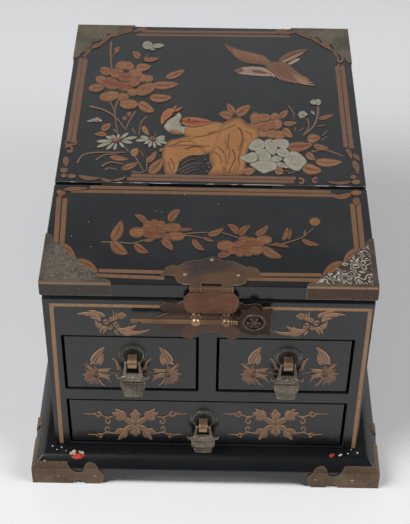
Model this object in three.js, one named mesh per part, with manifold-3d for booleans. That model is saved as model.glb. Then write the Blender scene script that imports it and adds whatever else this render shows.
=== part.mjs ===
// Travel dressing case in black lacquer with brass mounts.
// Millimetres, +Z up, front towards -Y, origin at the middle of the footprint on the ground.
import * as THREE from "three";
import { mergeVertices } from "three/addons/utils/BufferGeometryUtils.js";
import Module from "manifold-3d";

const wasm = await Module();
wasm.setup();

// Driving dimensions of the case
const caseWidth = 230;
const caseDepth = 322;
const caseHeight = 194.5;
const lidThickness = 12;
const lidOverhang = 0.5;
const lidGap = 0.8;
const frontLidDepth = 107.5;
const seamGap = 3.4;
const sideThickness = 9;
const frontThickness = 9;
const backThickness = 8;

// Plinth with bracket feet
const plinthHeight = 25;
const plinthOverhang = 16.3;
const plinthEdge = 16.5;
const shoulderInset = 10;
const apronRise = 4.5;
const apronRun = 6;
const footLength = 55;
const floorThickness = 8;
const floorRise = 2;

// Drawer bay
const stileWidth = 11;
const centreStile = 12.8;
const longBayHeight = 49.5;
const middleRail = 11;
const smallBayHeight = 56;
const dustThickness = 7.5;
const dividerThickness = 10;
const trayThickness = 6;
const trayRise = 4;

// Drawers
const drawerGap = 1;
const drawerRecess = 1;
const drawerRun = 0.5;
const drawerFrontThickness = 9;
const drawerRearGap = 27;
const drawerWall = 5;
const drawerBottom = 4;
const drawerSideGap = 2;
const drawerSideDrop = 6;

// Drawer pulls
const rosetteRadius = 10;
const rosetteRise = 2.4;
const rosetteEdge = 0.8;
const strapWidth = 6.2;
const strapInner = 2.4;
const strapThickness = 1.6;
const strapClear = 0.3;
const pullReach = 7;
const pullPlate = 2;
const pullBar = 2.2;
const pullEyeWidth = 13;
const pullEyeHeight = 10.5;
const pullShoulder = 24;
const pullBody = 18;
const smallPullDrop = 35.5;
const longPullDrop = 29;
const smallPullRise = 7.5;
const longPullRise = 3;
const rosetteLift = 1.5;
const leftPullShift = 1.5;
const rightPullShift = 2.4;
const longPullShift = -2.4;

// Sheet brass and its nails
const sheet = 0.8;
const bracketSheet = 0.6;
const bracketLeg = 48.5;
const bracketSideLeg = 50.5;
const bracketFlange = 10.5;
const bracketWaves = 3;
const bracketBulge = 4.5;
const bracketTip = 8;
const bracketTipWidth = 5;
const frontBracketDepth = 22;
const rearBracketDepth = 19;
const mountSheet = 0.9;
const mountGap = 0.1;
const mountLeg = 53.8;
const mountTop = 20.8;
const mountArchStart = 29.7;
const mountArchEnd = 39.3;
const mountArchRise = 10;
const mountInnerNail = 19.6;
const mountOuterNail = 6.5;
const nailRadius = 1.3;
const nailRise = 0.5;

// Lock
const lockOffset = 1.8;
const haspWidth = 69.6;
const haspReach = 28.6;
const haspKnuckle = 2.1;
const haspNeck = 29.4;
const haspNeckGap = 14;
const haspApexNail = 25.3;
const haspSideNail = 9.8;
const haspNailSpread = 36.5;
const leafSheet = 1;
const leafWidth = 38;
const leafDrop = 21.7;
const leafForward = 0.4;
const eyeSpacing = 20.9;
const eyeOuter = 4.6;
const eyeWidth = 5;
const eyeStandOff = 0.2;
const eyeBevel = 0.9;
const stemClear = 0.3;
const barRadius = 1.85;
const barTipHole = 0.8;
const barTipInset = 5.5;
const barClearance = 0.3;
const barReach = 55;
const barHeadStart = 14.6;
const headSheet = 1.6;
const headHalfHeight = 13;
const headCentre = 29.6;
const barDrop = 29.2;
const roundelRadius = 6.6;
const roundelSpoke = 1.5;
const roundelHub = 2.6;
const lockPlateHalf = 38.5;
const lockPlateDrop = 2;
const lockPlateLift = 0.5;

// Hinges
const pinClearance = 0.15;
const pinOverrun = 0.4;
const knuckleGap = 0.3;
const seamKnuckle = 1.5;
const seamPin = 0.8;
const seamHingeLength = 34;
const seamHingeSpread = 126;
const seamAxisDrop = 1.3;
const seamLeafHeight = 9;
const rearKnuckle = 2.2;
const rearPin = 1.1;
const rearHingeLength = 36;
const rearHingeClear = 3.5;
const rearLeafSheet = 1;
const rearWebHeight = 1.7;
const rearLeafHeight = 17;
const rearLidLeafHeight = 10;

// Mirror under the rear lid
const mirrorSetBack = 12;
const mirrorRearMargin = 12.3;
const mirrorSideMargin = 15.5;
const mirrorBar = 14;
const mirrorThickness = 8;
const mirrorLip = 2;
const mirrorRebate = 4;
const mirrorGlass = 3;
const mirrorFit = 0.3;

// Planes worked out from the driving dimensions
const lidHalf = caseWidth / 2;
const lidFront = -caseDepth / 2;
const lidBack = caseDepth / 2;
const lidTop = caseHeight;
const lidUnder = lidTop - lidThickness;
const bodyHalf = lidHalf - lidOverhang;
const bodyFront = lidFront + lidOverhang;
const bodyBack = lidBack - lidOverhang;
const bodyTop = lidUnder - lidGap;
const seamY = lidFront + frontLidDepth;
const insideHalf = bodyHalf - sideThickness;
const insideFront = bodyFront + frontThickness;
const insideBack = bodyBack - backThickness;
const floorTop = plinthHeight + floorRise;
const longBayTop = floorTop + longBayHeight;
const smallBayFloor = longBayTop + middleRail;
const smallBayTop = smallBayFloor + smallBayHeight;
const trayFloor = smallBayTop + trayRise;
const openingHalf = bodyHalf - stileWidth;
const drawerFace = bodyFront + drawerRecess;
const drawerRear = insideBack - drawerRearGap;
const plinthHalfX = lidHalf + plinthOverhang;
const plinthHalfY = lidBack + plinthOverhang;
const rearHingeSpread = 2 * (lidHalf - bracketLeg - rearHingeClear) - rearHingeLength;

// Colours and finishes
const finish = (color, roughness, metalness) =>
  new THREE.MeshStandardMaterial({ color, roughness, metalness });
const lacquer = () => finish(0x2e3033, 0.35, 0);
const bareWood = () => finish(0x8a6844, 0.7, 0);
const brass = () => finish(0x7a6548, 0.45, 0.9);
const brightBrass = () => finish(0xa08050, 0.35, 0.95);
const silvered = () => finish(0xc8ccd0, 0.05, 1);

// Geometry helpers
function toSolid(geometry) {
  const bare = geometry.clone();
  bare.deleteAttribute("normal");
  bare.deleteAttribute("uv");
  const merged = mergeVertices(bare, 1e-4);
  return new wasm.Manifold(
    new wasm.Mesh({
      numProp: 3,
      vertProperties: new Float32Array(merged.attributes.position.array),
      triVerts: new Uint32Array(merged.index.array),
    }),
  );
}

function toGeometry(solid) {
  const mesh = solid.getMesh();
  const geometry = new THREE.BufferGeometry();
  geometry.setAttribute("position", new THREE.BufferAttribute(mesh.vertProperties, 3));
  geometry.setIndex(new THREE.BufferAttribute(mesh.triVerts, 1));
  geometry.computeVertexNormals();
  return geometry;
}

const join = (first, ...rest) => rest.reduce((made, next) => made.add(next), first);
const cut = (first, ...rest) => rest.reduce((made, next) => made.subtract(next), first);

// Two limits in rising order
const span = (a, b) => (a < b ? [a, b] : [b, a]);

// A block between two corners
function block(x0, x1, y0, y1, z0, z1) {
  const geometry = new THREE.BoxGeometry(x1 - x0, y1 - y0, z1 - z0);
  geometry.translate((x0 + x1) / 2, (y0 + y1) / 2, (z0 + z1) / 2);
  return toSolid(geometry);
}

// An outline in plan, given thickness from z0 to z1
function planPlate(shape, z0, z1, curveSegments = 6) {
  const geometry = new THREE.ExtrudeGeometry(shape, {
    depth: z1 - z0,
    bevelEnabled: false,
    curveSegments,
  });
  geometry.translate(0, 0, z0);
  return toSolid(geometry);
}

// An outline drawn as seen from the front, given thickness from y0 back to y1
function frontPlate(shape, y0, y1, curveSegments = 6) {
  const geometry = new THREE.ExtrudeGeometry(shape, {
    depth: y1 - y0,
    bevelEnabled: false,
    curveSegments,
  });
  geometry.rotateX(Math.PI / 2);
  geometry.translate(0, y1, 0);
  return toSolid(geometry);
}

// An outline drawn in the side view as (y, z), given thickness from x0 to x1
function sidePlate(shape, x0, x1, curveSegments = 6) {
  const geometry = new THREE.ExtrudeGeometry(shape, {
    depth: x1 - x0,
    bevelEnabled: false,
    curveSegments,
  });
  const turn = new THREE.Matrix4().makeBasis(
    new THREE.Vector3(0, 1, 0),
    new THREE.Vector3(0, 0, 1),
    new THREE.Vector3(1, 0, 0),
  );
  geometry.applyMatrix4(turn);
  geometry.translate(x0, 0, 0);
  return toSolid(geometry);
}

// A round bar along X
function bar(x0, x1, y, z, radius, sides = 16) {
  const geometry = new THREE.CylinderGeometry(radius, radius, x1 - x0, sides);
  geometry.rotateZ(Math.PI / 2);
  geometry.translate((x0 + x1) / 2, y, z);
  return toSolid(geometry);
}

// A straight-sided outline from a list of points
function outline(points) {
  const shape = new THREE.Shape();
  points.forEach(([u, v], index) => (index ? shape.lineTo(u, v) : shape.moveTo(u, v)));
  shape.closePath();
  return shape;
}

// A smooth outline through points given for the right half, mirrored to the left
function mirroredOutline(centre, half, divisions) {
  const right = half.map(([u, v]) => new THREE.Vector2(u, v));
  const curve = new THREE.SplineCurve(right);
  const side = curve.getPoints(divisions);
  const left = side.slice(1, -1).reverse().map((p) => new THREE.Vector2(-p.x, p.y));
  return outline([...side, ...left].map((p) => [centre + p.x, p.y]));
}

// A moulding run round four sides: a rectangle that steps in by each inset at its height
function moulding(profile, halfX, halfY) {
  const corners = [[-1, -1], [1, -1], [1, 1], [-1, 1]];
  const points = profile.flatMap(([inset, z]) =>
    corners.map(([sx, sy]) => [sx * (halfX - inset), sy * (halfY - inset), z]),
  );
  const faces = [0, 2, 1, 0, 3, 2];
  const last = (profile.length - 1) * 4;
  faces.push(last, last + 1, last + 2, last, last + 2, last + 3);
  for (let level = 0; level < profile.length - 1; level++) {
    for (let side = 0; side < 4; side++) {
      const a = level * 4 + side;
      const b = level * 4 + ((side + 1) % 4);
      faces.push(a, b, b + 4, a, b + 4, a + 4);
    }
  }
  const geometry = new THREE.BufferGeometry();
  geometry.setAttribute("position", new THREE.Float32BufferAttribute(points.flat(), 3));
  geometry.setIndex(faces);
  return toSolid(geometry);
}

// A nail head: a low dome whose base circle lies on a face with the given outward direction
function nail(position, direction) {
  const geometry = new THREE.SphereGeometry(nailRadius, 8, 6);
  geometry.scale(1, nailRise / nailRadius, 1);
  const turn = new THREE.Quaternion().setFromUnitVectors(
    new THREE.Vector3(0, 1, 0),
    new THREE.Vector3(...direction),
  );
  geometry.applyQuaternion(turn);
  geometry.translate(...position);
  return toSolid(geometry);
}

// The case as a scene graph
const dressingCase = new THREE.Group();
dressingCase.name = "travel_dressing_case";

function place(name, solid, material) {
  const mesh = new THREE.Mesh(toGeometry(solid), material);
  mesh.name = name;
  dressingCase.add(mesh);
}

// Plinth: a mitred moulding with a convex shoulder and a shallow arched apron
const shoulderRise = plinthHeight - plinthEdge;
const plinthProfile = [
  [0, 0],
  [0, plinthEdge],
  [shoulderInset * 0.16, plinthEdge + shoulderRise * 0.25],
  [shoulderInset * 0.4, plinthEdge + shoulderRise * 0.55],
  [shoulderInset * 0.7, plinthEdge + shoulderRise * 0.84],
  [shoulderInset, plinthHeight],
];

function apronCut(half, low, high) {
  const end = half - footLength;
  return outline([
    [-end, low],
    [end, low],
    [end, 0],
    [end - apronRun, high],
    [apronRun - end, high],
    [-end, 0],
  ]);
}

function makePlinth() {
  const below = -1;
  const ring = moulding(plinthProfile, plinthHalfX, plinthHalfY);
  const hollow = block(-insideHalf, insideHalf, insideFront, insideBack, below, plinthHeight - below);
  const through = 2 * plinthHalfY;
  const acrossFront = frontPlate(apronCut(plinthHalfX, below, apronRise), -through, through);
  const acrossSide = sidePlate(apronCut(plinthHalfY, below, apronRise), -through, through);
  place("plinth", cut(ring, hollow, acrossFront, acrossSide), lacquer());
}

// The plinth's profile moved outwards, each point along the normal of its two neighbours
function offsetProfile(out) {
  const moved = plinthProfile.map(([inset, z], index) => {
    const [inset0, z0] = plinthProfile[Math.max(index - 1, 0)];
    const [inset1, z1] = plinthProfile[Math.min(index + 1, plinthProfile.length - 1)];
    const run = Math.hypot(inset1 - inset0, z1 - z0);
    return [inset - (out * (z1 - z0)) / run, z + (out * (inset1 - inset0)) / run];
  });
  moved[0][1] = -out;
  return moved;
}

// Foot mounts: sheet brass folded round each corner and over the shoulder
const mountOutside = 4 * mountSheet;

function mountOutline(corner, way) {
  const at = (u) => corner + way * u;
  const shape = new THREE.Shape();
  shape.moveTo(at(-mountOutside), 0);
  shape.lineTo(at(mountArchStart), 0);
  shape.quadraticCurveTo(at((mountArchStart + mountArchEnd) / 2), mountArchRise, at(mountArchEnd), 0);
  shape.lineTo(at(mountLeg - 3.5), 0);
  shape.quadraticCurveTo(at(mountLeg - 0.5), 3.5, at(mountLeg - 0.6), 6.5);
  shape.quadraticCurveTo(at(mountLeg + 1), 12, at(mountLeg - 3), 15.5);
  shape.quadraticCurveTo(at(mountLeg - 5.5), mountTop, at(mountLeg - 11), mountTop);
  shape.quadraticCurveTo(at(mountLeg - 15.5), 19.5, at(mountLeg - 15), 15.5);
  shape.quadraticCurveTo(at(mountLeg - 17), 11.5, at(mountLeg - 21.5), 13.2);
  shape.quadraticCurveTo(at(mountLeg - 25.5), 16, at(mountLeg - 28), mountTop);
  shape.lineTo(at(-mountOutside), mountTop);
  shape.closePath();
  return shape;
}

function makeFootMounts() {
  const outer = moulding(offsetProfile(mountGap + mountSheet), plinthHalfX, plinthHalfY);
  const inner = moulding(offsetProfile(mountGap), plinthHalfX, plinthHalfY);
  const skin = outer.subtract(inner);
  const faceX = plinthHalfX + mountGap + mountSheet;
  const faceY = plinthHalfY + mountGap + mountSheet;
  const nailPlaces = [mountInnerNail, mountLeg - mountOuterNail];
  for (const [rowName, sy] of [["front", -1], ["rear", 1]]) {
    for (const [sideName, sx] of [["left", -1], ["right", 1]]) {
      const nearY = span(sy * (plinthHalfY + mountOutside), sy * (plinthHalfY - shoulderInset));
      const nearX = span(sx * (plinthHalfX + mountOutside), sx * (plinthHalfX - shoulderInset));
      const facing = frontPlate(mountOutline(sx * plinthHalfX, -sx), nearY[0], nearY[1], 5);
      const flank = sidePlate(mountOutline(sy * plinthHalfY, -sy), nearX[0], nearX[1], 5);
      const frontLeg = skin.intersect(facing);
      const sideLeg = skin.intersect(flank);
      const nails = nailPlaces.flatMap((u) => [
        nail([sx * (plinthHalfX - u), sy * faceY, plinthEdge / 2], [0, sy, 0]),
        nail([sx * faceX, sy * (plinthHalfY - u), plinthEdge / 2], [sx, 0, 0]),
      ]);
      place("foot_mount_" + rowName + "_" + sideName, join(frontLeg, sideLeg, ...nails), brass());
    }
  }
}

// Carcase boards
function makeCarcase() {
  const floorUnder = floorTop - floorThickness;
  const floor = block(-insideHalf, insideHalf, insideFront, insideBack, floorUnder, floorTop);
  place("case_floor", floor, bareWood());
  const wall = (x0, x1, y0, y1) => block(x0, x1, y0, y1, plinthHeight, bodyTop);
  place("left_side", wall(-bodyHalf, -insideHalf, insideFront, bodyBack), lacquer());
  place("right_side", wall(insideHalf, bodyHalf, insideFront, bodyBack), lacquer());
  place("case_back", wall(-insideHalf, insideHalf, insideBack, bodyBack), lacquer());
  const board = wall(-bodyHalf, bodyHalf, bodyFront, insideFront);
  const y0 = bodyFront - 1;
  const y1 = insideFront + 1;
  const longBay = block(-openingHalf, openingHalf, y0, y1, floorTop, longBayTop);
  const leftBay = block(-openingHalf, -centreStile / 2, y0, y1, smallBayFloor, smallBayTop);
  const rightBay = block(centreStile / 2, openingHalf, y0, y1, smallBayFloor, smallBayTop);
  place("front_frame", cut(board, longBay, leftBay, rightBay), lacquer());
  place(
    "dust_board",
    block(-insideHalf, insideHalf, insideFront, insideBack, smallBayFloor - dustThickness, smallBayFloor),
    bareWood(),
  );
  place(
    "drawer_divider",
    block(-dividerThickness / 2, dividerThickness / 2, insideFront, insideBack, smallBayFloor, trayFloor),
    bareWood(),
  );
  place(
    "tray_floor",
    block(-insideHalf, insideHalf, insideFront, insideBack, trayFloor, trayFloor + trayThickness),
    bareWood(),
  );
}

// Drawers with their rosettes, staples and hanging pulls
function pullOutline(drop) {
  const shape = new THREE.Shape();
  const eye = pullEyeWidth / 2;
  const body = pullBody / 2;
  const shoulder = pullShoulder / 2;
  const shoulderTop = -pullEyeHeight - pullBar / 2;
  const neck = shoulderTop - 7;
  const lip = -drop + 2.4;
  const right = [
    [0, pullBar / 2],
    [eye - 1.4, pullBar / 2],
    [eye, -0.6],
    [eye + 0.3, shoulderTop + 1],
    [shoulder - 3, shoulderTop + 0.6],
    [shoulder, shoulderTop - 1.4],
    [shoulder - 1, shoulderTop - 4.2],
    [body - 0.5, shoulderTop - 5],
    [body - 1.4, neck],
    [body, neck - 2.2],
    [body, (neck + lip) / 2],
    [body - 1.8, lip + 1.6],
    [body - 3.4, lip],
    [body - 2.4, lip - 1],
    [body - 3.4, -drop],
  ];
  right.forEach(([u, v], index) => (index ? shape.lineTo(u, v) : shape.moveTo(u, v)));
  right.reverse().forEach(([u, v]) => u > 0 && shape.lineTo(-u, v));
  shape.closePath();
  const hole = new THREE.Path();
  const top = -pullBar / 2;
  const bottom = top - pullEyeHeight + 1;
  const half = strapWidth / 2 + strapClear;
  hole.moveTo(-half, top);
  hole.lineTo(-half - 0.5, bottom + 1);
  hole.lineTo(-half + 1, bottom);
  hole.lineTo(half - 1, bottom);
  hole.lineTo(half + 0.5, bottom + 1);
  hole.lineTo(half, top);
  hole.closePath();
  shape.holes.push(hole);
  return shape;
}

function makeRosette(x, z) {
  const edge = [];
  const rings = 5;
  for (let i = 0; i <= rings; i++) {
    const turn = (Math.PI / 2) * (i / rings);
    edge.push(new THREE.Vector2(
      rosetteRadius * Math.cos(turn),
      rosetteEdge + (rosetteRise - rosetteEdge) * Math.sin(turn),
    ));
  }
  edge[rings].x = 0;
  const profile = [new THREE.Vector2(0, 0), new THREE.Vector2(rosetteRadius, 0), ...edge];
  const geometry = new THREE.LatheGeometry(profile, 32);
  geometry.rotateX(Math.PI);
  geometry.translate(x, drawerFace, z);
  return toSolid(geometry);
}

function makePull(name, x, axisZ, drop) {
  const axisY = drawerFace - pullReach;
  const outer = strapInner + strapThickness;
  const arch = new THREE.Shape();
  arch.moveTo(drawerFace, axisZ - outer);
  arch.lineTo(drawerFace, axisZ + outer);
  arch.lineTo(axisY, axisZ + outer);
  arch.absarc(axisY, axisZ, outer, Math.PI / 2, (3 * Math.PI) / 2, false);
  arch.closePath();
  const loop = new THREE.Shape();
  loop.moveTo(drawerFace - strapThickness, axisZ - strapInner);
  loop.lineTo(drawerFace - strapThickness, axisZ + strapInner);
  loop.lineTo(axisY, axisZ + strapInner);
  loop.absarc(axisY, axisZ, strapInner, Math.PI / 2, (3 * Math.PI) / 2, false);
  loop.closePath();
  const strap = cut(
    sidePlate(arch, x - strapWidth / 2, x + strapWidth / 2, 10),
    sidePlate(loop, x - strapWidth, x + strapWidth, 10),
  );
  const slot = strapWidth / 2 + strapClear;
  const window = block(
    x - slot,
    x + slot,
    axisY,
    drawerFace + 1,
    axisZ - outer - strapClear,
    axisZ + outer + strapClear,
  );
  place(name + "_rosette", makeRosette(x, axisZ + rosetteLift).subtract(window), brass());
  place(name + "_staple", strap, brightBrass());
  const plate = frontPlate(pullOutline(drop), axisY - pullPlate / 2, axisY + pullPlate / 2);
  place(name + "_pull", plate.translate([x, 0, axisZ]), brass());
}

function makeDrawer(name, x0, x1, z0, z1, pullX, pullZ, pullDrop) {
  const left = x0 + drawerGap;
  const right = x1 - drawerGap;
  const bottom = z0 + drawerRun;
  const top = z1 - drawerGap;
  const behind = drawerFace + drawerFrontThickness;
  const boxLeft = left + drawerSideGap;
  const boxRight = right - drawerSideGap;
  const boxTop = top - drawerSideDrop;
  place(name + "_front", block(left, right, drawerFace, behind, bottom, top), lacquer());
  const outer = block(boxLeft, boxRight, behind, drawerRear, bottom, boxTop);
  const inner = block(
    boxLeft + drawerWall,
    boxRight - drawerWall,
    behind - 1,
    drawerRear - drawerWall,
    bottom - 1,
    boxTop + 1,
  );
  place(name + "_box", outer.subtract(inner), bareWood());
  const board = block(
    boxLeft + drawerWall,
    boxRight - drawerWall,
    behind,
    drawerRear - drawerWall,
    bottom,
    bottom + drawerBottom,
  );
  place(name + "_bottom", board, bareWood());
  makePull(name, pullX, pullZ, pullDrop);
}

function makeDrawers() {
  const smallMiddle = (smallBayFloor + smallBayTop) / 2;
  const smallCentre = (openingHalf + centreStile / 2) / 2;
  makeDrawer(
    "left_drawer",
    -openingHalf,
    -centreStile / 2,
    smallBayFloor,
    smallBayTop,
    leftPullShift - smallCentre,
    smallMiddle + smallPullRise,
    smallPullDrop,
  );
  makeDrawer(
    "right_drawer",
    centreStile / 2,
    openingHalf,
    smallBayFloor,
    smallBayTop,
    smallCentre + rightPullShift,
    smallMiddle + smallPullRise,
    smallPullDrop,
  );
  makeDrawer(
    "long_drawer",
    -openingHalf,
    openingHalf,
    floorTop,
    longBayTop,
    longPullShift,
    (floorTop + longBayTop) / 2 + longPullRise,
    longPullDrop,
  );
}

// Corner brackets: a flat plate with a wavy inner edge, folded down over the two lid edges
function bracketOutline(cornerX, cornerY, wayX, wayY, legX, legY, depth) {
  const at = (u, v) => [cornerX + wayX * u, cornerY + wayY * v];
  const shape = new THREE.Shape();
  const bend = bracketSheet;
  shape.moveTo(...at(-bend, -bend));
  shape.lineTo(...at(legX, -bend));
  const start = new THREE.Vector2(legX - bracketTip, bracketTipWidth);
  const end = new THREE.Vector2(bracketTipWidth, legY - bracketTip);
  const control = new THREE.Vector2(2 * depth, 2 * depth).sub(
    start.clone().add(end).multiplyScalar(0.5),
  );
  const inner = new THREE.QuadraticBezierCurve(start, control, end);
  shape.quadraticCurveTo(...at(legX, bracketTipWidth), ...at(start.x, start.y));
  for (let wave = 0; wave < bracketWaves; wave++) {
    const crest = inner.getPoint((wave + 0.5) / bracketWaves);
    const trough = inner.getPoint((wave + 1) / bracketWaves);
    shape.quadraticCurveTo(
      ...at(crest.x + bracketBulge, crest.y + bracketBulge),
      ...at(trough.x, trough.y),
    );
  }
  shape.quadraticCurveTo(...at(bracketTipWidth, legY), ...at(-bend, legY));
  shape.closePath();
  return shape;
}

function makeBracket(name, sx, cornerY, wayY, depth) {
  const cornerX = sx * lidHalf;
  const low = lidTop - bracketFlange;
  const high = lidTop + bracketSheet;
  const shape = bracketOutline(cornerX, cornerY, -sx, wayY, bracketLeg, bracketSideLeg, depth);
  const plate = planPlate(shape, lidTop, high, 5);
  const sideX = span(cornerX, cornerX + sx * bracketSheet);
  const alongX = span(cornerX + sx * bracketSheet, cornerX - sx * bracketLeg);
  const edgeY = span(cornerY, cornerY - wayY * bracketSheet);
  const alongY = span(cornerY - wayY * bracketSheet, cornerY + wayY * bracketSideLeg);
  const sideFlange = block(sideX[0], sideX[1], alongY[0], alongY[1], low, high);
  const edgeFlange = block(alongX[0], alongX[1], edgeY[0], edgeY[1], low, high);
  place(name, join(plate, sideFlange, edgeFlange), brass());
}

// Lid panels with their brackets and the mirror
function makeLids() {
  const frontEdge = seamY - seamGap / 2;
  const rearEdge = seamY + seamGap / 2;
  place("front_lid", block(-lidHalf, lidHalf, lidFront, frontEdge, lidUnder, lidTop), lacquer());
  place("rear_lid", block(-lidHalf, lidHalf, rearEdge, lidBack, lidUnder, lidTop), lacquer());
  for (const [sideName, sx] of [["left", -1], ["right", 1]]) {
    makeBracket("front_lid_bracket_" + sideName, sx, lidFront, 1, frontBracketDepth);
    makeBracket("rear_lid_bracket_" + sideName, sx, lidBack, -1, rearBracketDepth);
  }
}

function makeMirror() {
  const half = insideHalf - mirrorSideMargin;
  const front = seamY + seamGap / 2 + mirrorSetBack;
  const back = insideBack - mirrorRearMargin;
  const bottom = lidUnder - mirrorThickness;
  const shelf = bottom + mirrorLip;
  const glassTop = shelf + mirrorGlass;
  const inset = (by, z0, z1) => block(by - half, half - by, front + by, back - by, z0, z1);
  const frame = cut(
    inset(0, bottom, lidUnder),
    inset(mirrorBar, bottom - 1, lidUnder + 1),
    inset(mirrorBar - mirrorRebate, shelf, lidUnder + 1),
  );
  const seat = mirrorBar - mirrorRebate + mirrorFit;
  place("mirror_frame", frame, lacquer());
  place("mirror_glass", inset(seat, shelf, glassTop), silvered());
  place("mirror_backboard", inset(seat, glassTop, lidUnder), bareWood());
}

// A pin hinge along X: three knuckles, the middle one on the moving leaf
function knuckles(centreX, length, y, z, radius, pinRadius) {
  const hole = pinRadius + pinClearance;
  const third = length / 3;
  const tube = (x0, x1) => bar(x0, x1, y, z, radius).subtract(bar(x0 - 1, x1 + 1, y, z, hole, 12));
  const left = [centreX - length / 2, centreX - third / 2 - knuckleGap];
  const middle = [centreX - third / 2, centreX + third / 2];
  const right = [centreX + third / 2 + knuckleGap, centreX + length / 2];
  return {
    left,
    middle,
    right,
    outer: [tube(...left), tube(...right)],
    inner: [tube(...middle)],
    bore: bar(centreX - length, centreX + length, y, z, hole, 12),
    pin: bar(
      centreX - length / 2 - pinOverrun,
      centreX + length / 2 + pinOverrun,
      y,
      z,
      pinRadius,
      12,
    ),
  };
}

function makeSeamHinge(name, centreX) {
  const axisZ = lidTop - seamAxisDrop;
  const set = knuckles(centreX, seamHingeLength, seamY, axisZ, seamKnuckle, seamPin);
  const low = axisZ - seamLeafHeight;
  const half = seamHingeLength / 2;
  const edge = seamGap / 2;
  const leafTop = axisZ - seamKnuckle - knuckleGap;
  const leaf = (y0, y1) => block(centreX - half, centreX + half, y0, y1, low, leafTop);
  const web = ([x0, x1], y0, y1) => block(x0, x1, y0, y1, leafTop, axisZ);
  const rear = join(
    leaf(seamY + edge - sheet, seamY + edge),
    ...set.outer,
    web(set.left, seamY + edge - sheet, seamY + edge),
    web(set.right, seamY + edge - sheet, seamY + edge),
  );
  const front = join(
    leaf(seamY - edge, seamY - edge + sheet),
    ...set.inner,
    web(set.middle, seamY - edge, seamY - edge + sheet),
  );
  place(name + "_rear_leaf", rear.subtract(set.bore), brass());
  place(name + "_front_leaf", front.subtract(set.bore), brass());
  place(name + "_pin", set.pin, brass());
}

function makeRearHinge(name, centreX) {
  const axisY = lidBack + rearKnuckle;
  const axisZ = (lidUnder + bodyTop) / 2;
  const set = knuckles(centreX, rearHingeLength, axisY, axisZ, rearKnuckle, rearPin);
  const half = rearHingeLength / 2;
  const webTop = axisZ - lidGap / 4;
  const web = ([x0, x1]) => block(x0, x1, bodyBack, axisY, webTop - rearWebHeight, webTop);
  const caseLeaf = join(
    block(
      centreX - half,
      centreX + half,
      bodyBack,
      bodyBack + rearLeafSheet,
      axisZ - rearLeafHeight,
      axisZ - rearKnuckle - knuckleGap,
    ),
    ...set.outer,
    web(set.left),
    web(set.right),
    ...[set.left, set.right].map(([x0, x1]) =>
      block(x0, x1, bodyBack, bodyBack + rearLeafSheet, axisZ - rearKnuckle - 1, webTop),
    ),
  );
  const lidLeaf = join(
    block(
      centreX - half,
      centreX + half,
      lidBack,
      lidBack + rearLeafSheet,
      axisZ + rearKnuckle + knuckleGap,
      axisZ + rearLidLeafHeight,
    ),
    ...set.inner,
    block(...set.middle, lidBack, lidBack + rearLeafSheet, axisZ, axisZ + rearKnuckle + 1),
  );
  place(name + "_case_leaf", caseLeaf.subtract(set.bore), brass());
  place(name + "_lid_leaf", lidLeaf.subtract(set.bore), brass());
  place(name + "_pin", set.pin, brass());
}

// Lock: hasp plate and leaf on the front lid, plate and eyes on the case, and the sliding bar
function makeHasp() {
  const axisY = lidFront - haspKnuckle;
  const axisZ = lidTop + sheet - haspKnuckle;
  const half = haspWidth / 2;
  const top = lidFront + haspReach;
  const right = [
    [0, top],
    [half * 0.245, top - 4.2],
    [half * 0.345, top - 3.6],
    [half * 0.5, top - 6],
    [half * 0.69, top - 10.2],
    [half * 0.76, top - 9.2],
    [half * 0.9, top - 11.5],
    [half, lidFront + 8.2],
    [half * 0.87, lidFront + 9],
    [half * 0.74, lidFront + 8.4],
    [half * 0.66, lidFront + 2.6],
    [half * 0.55, lidFront + 0.4],
    [haspNeck / 2, lidFront + 0.4],
    [haspNeck / 2, axisY],
    [haspNeckGap / 2, axisY],
    [haspNeckGap / 2, lidFront + 1.6],
  ];
  const both = [...right, ...right.slice(1).reverse().map(([u, v]) => [-u, v])];
  const plate = planPlate(outline(both.map(([u, v]) => [lockOffset + u, v])), lidTop, lidTop + sheet);
  const inner = haspNeckGap / 2;
  const outer = haspNeck / 2;
  const bore = pinClearance + rearPin;
  const tube = (x0, x1) => bar(lockOffset + x0, lockOffset + x1, axisY, axisZ, haspKnuckle);
  const hole = bar(lockOffset - half, lockOffset + half, axisY, axisZ, bore, 12);
  const nails = [
    [0, haspApexNail],
    [-haspNailSpread / 2, haspSideNail],
    [haspNailSpread / 2, haspSideNail],
  ].map(([u, v]) => nail([lockOffset + u, lidFront + v, lidTop + sheet], [0, 0, 1]));
  const upper = join(plate, tube(-outer, -inner), tube(inner, outer), ...nails).subtract(hole);
  place("hasp_plate", upper, brass());
  const pinHalf = outer + pinOverrun;
  const pin = bar(lockOffset - pinHalf, lockOffset + pinHalf, axisY, axisZ, rearPin, 12);
  place("hasp_pin", pin, brass());
  const neck = inner - knuckleGap;
  const leafBack = axisY - leafForward;
  const leafTop = axisZ - haspKnuckle - knuckleGap;
  const leafLow = axisZ - leafDrop;
  const leafHalf = leafWidth / 2;
  const leafRight = [
    [neck, axisZ],
    [neck, leafTop],
    [leafHalf - 4, leafTop],
    [leafHalf - 2.6, leafTop - 2],
    [leafHalf - 0.6, leafTop - 4.5],
    [leafHalf, leafTop - 8],
    [leafHalf - 0.4, leafTop - 11.5],
    [leafHalf - 2.2, leafLow + 2.4],
    [leafHalf - 4.6, leafLow],
  ];
  const leafBoth = [...leafRight, ...leafRight.slice().reverse().map(([u, v]) => [-u, v])];
  const leafShape = outline(leafBoth.map(([u, v]) => [lockOffset + u, v]));
  const hanging = frontPlate(leafShape, leafBack - leafSheet, leafBack);
  place("hasp_leaf", join(hanging, tube(-neck, neck)).subtract(hole), brass());
}

const barZ = lidTop - barDrop;
const barY = bodyFront - sheet - eyeOuter - eyeStandOff;

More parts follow.
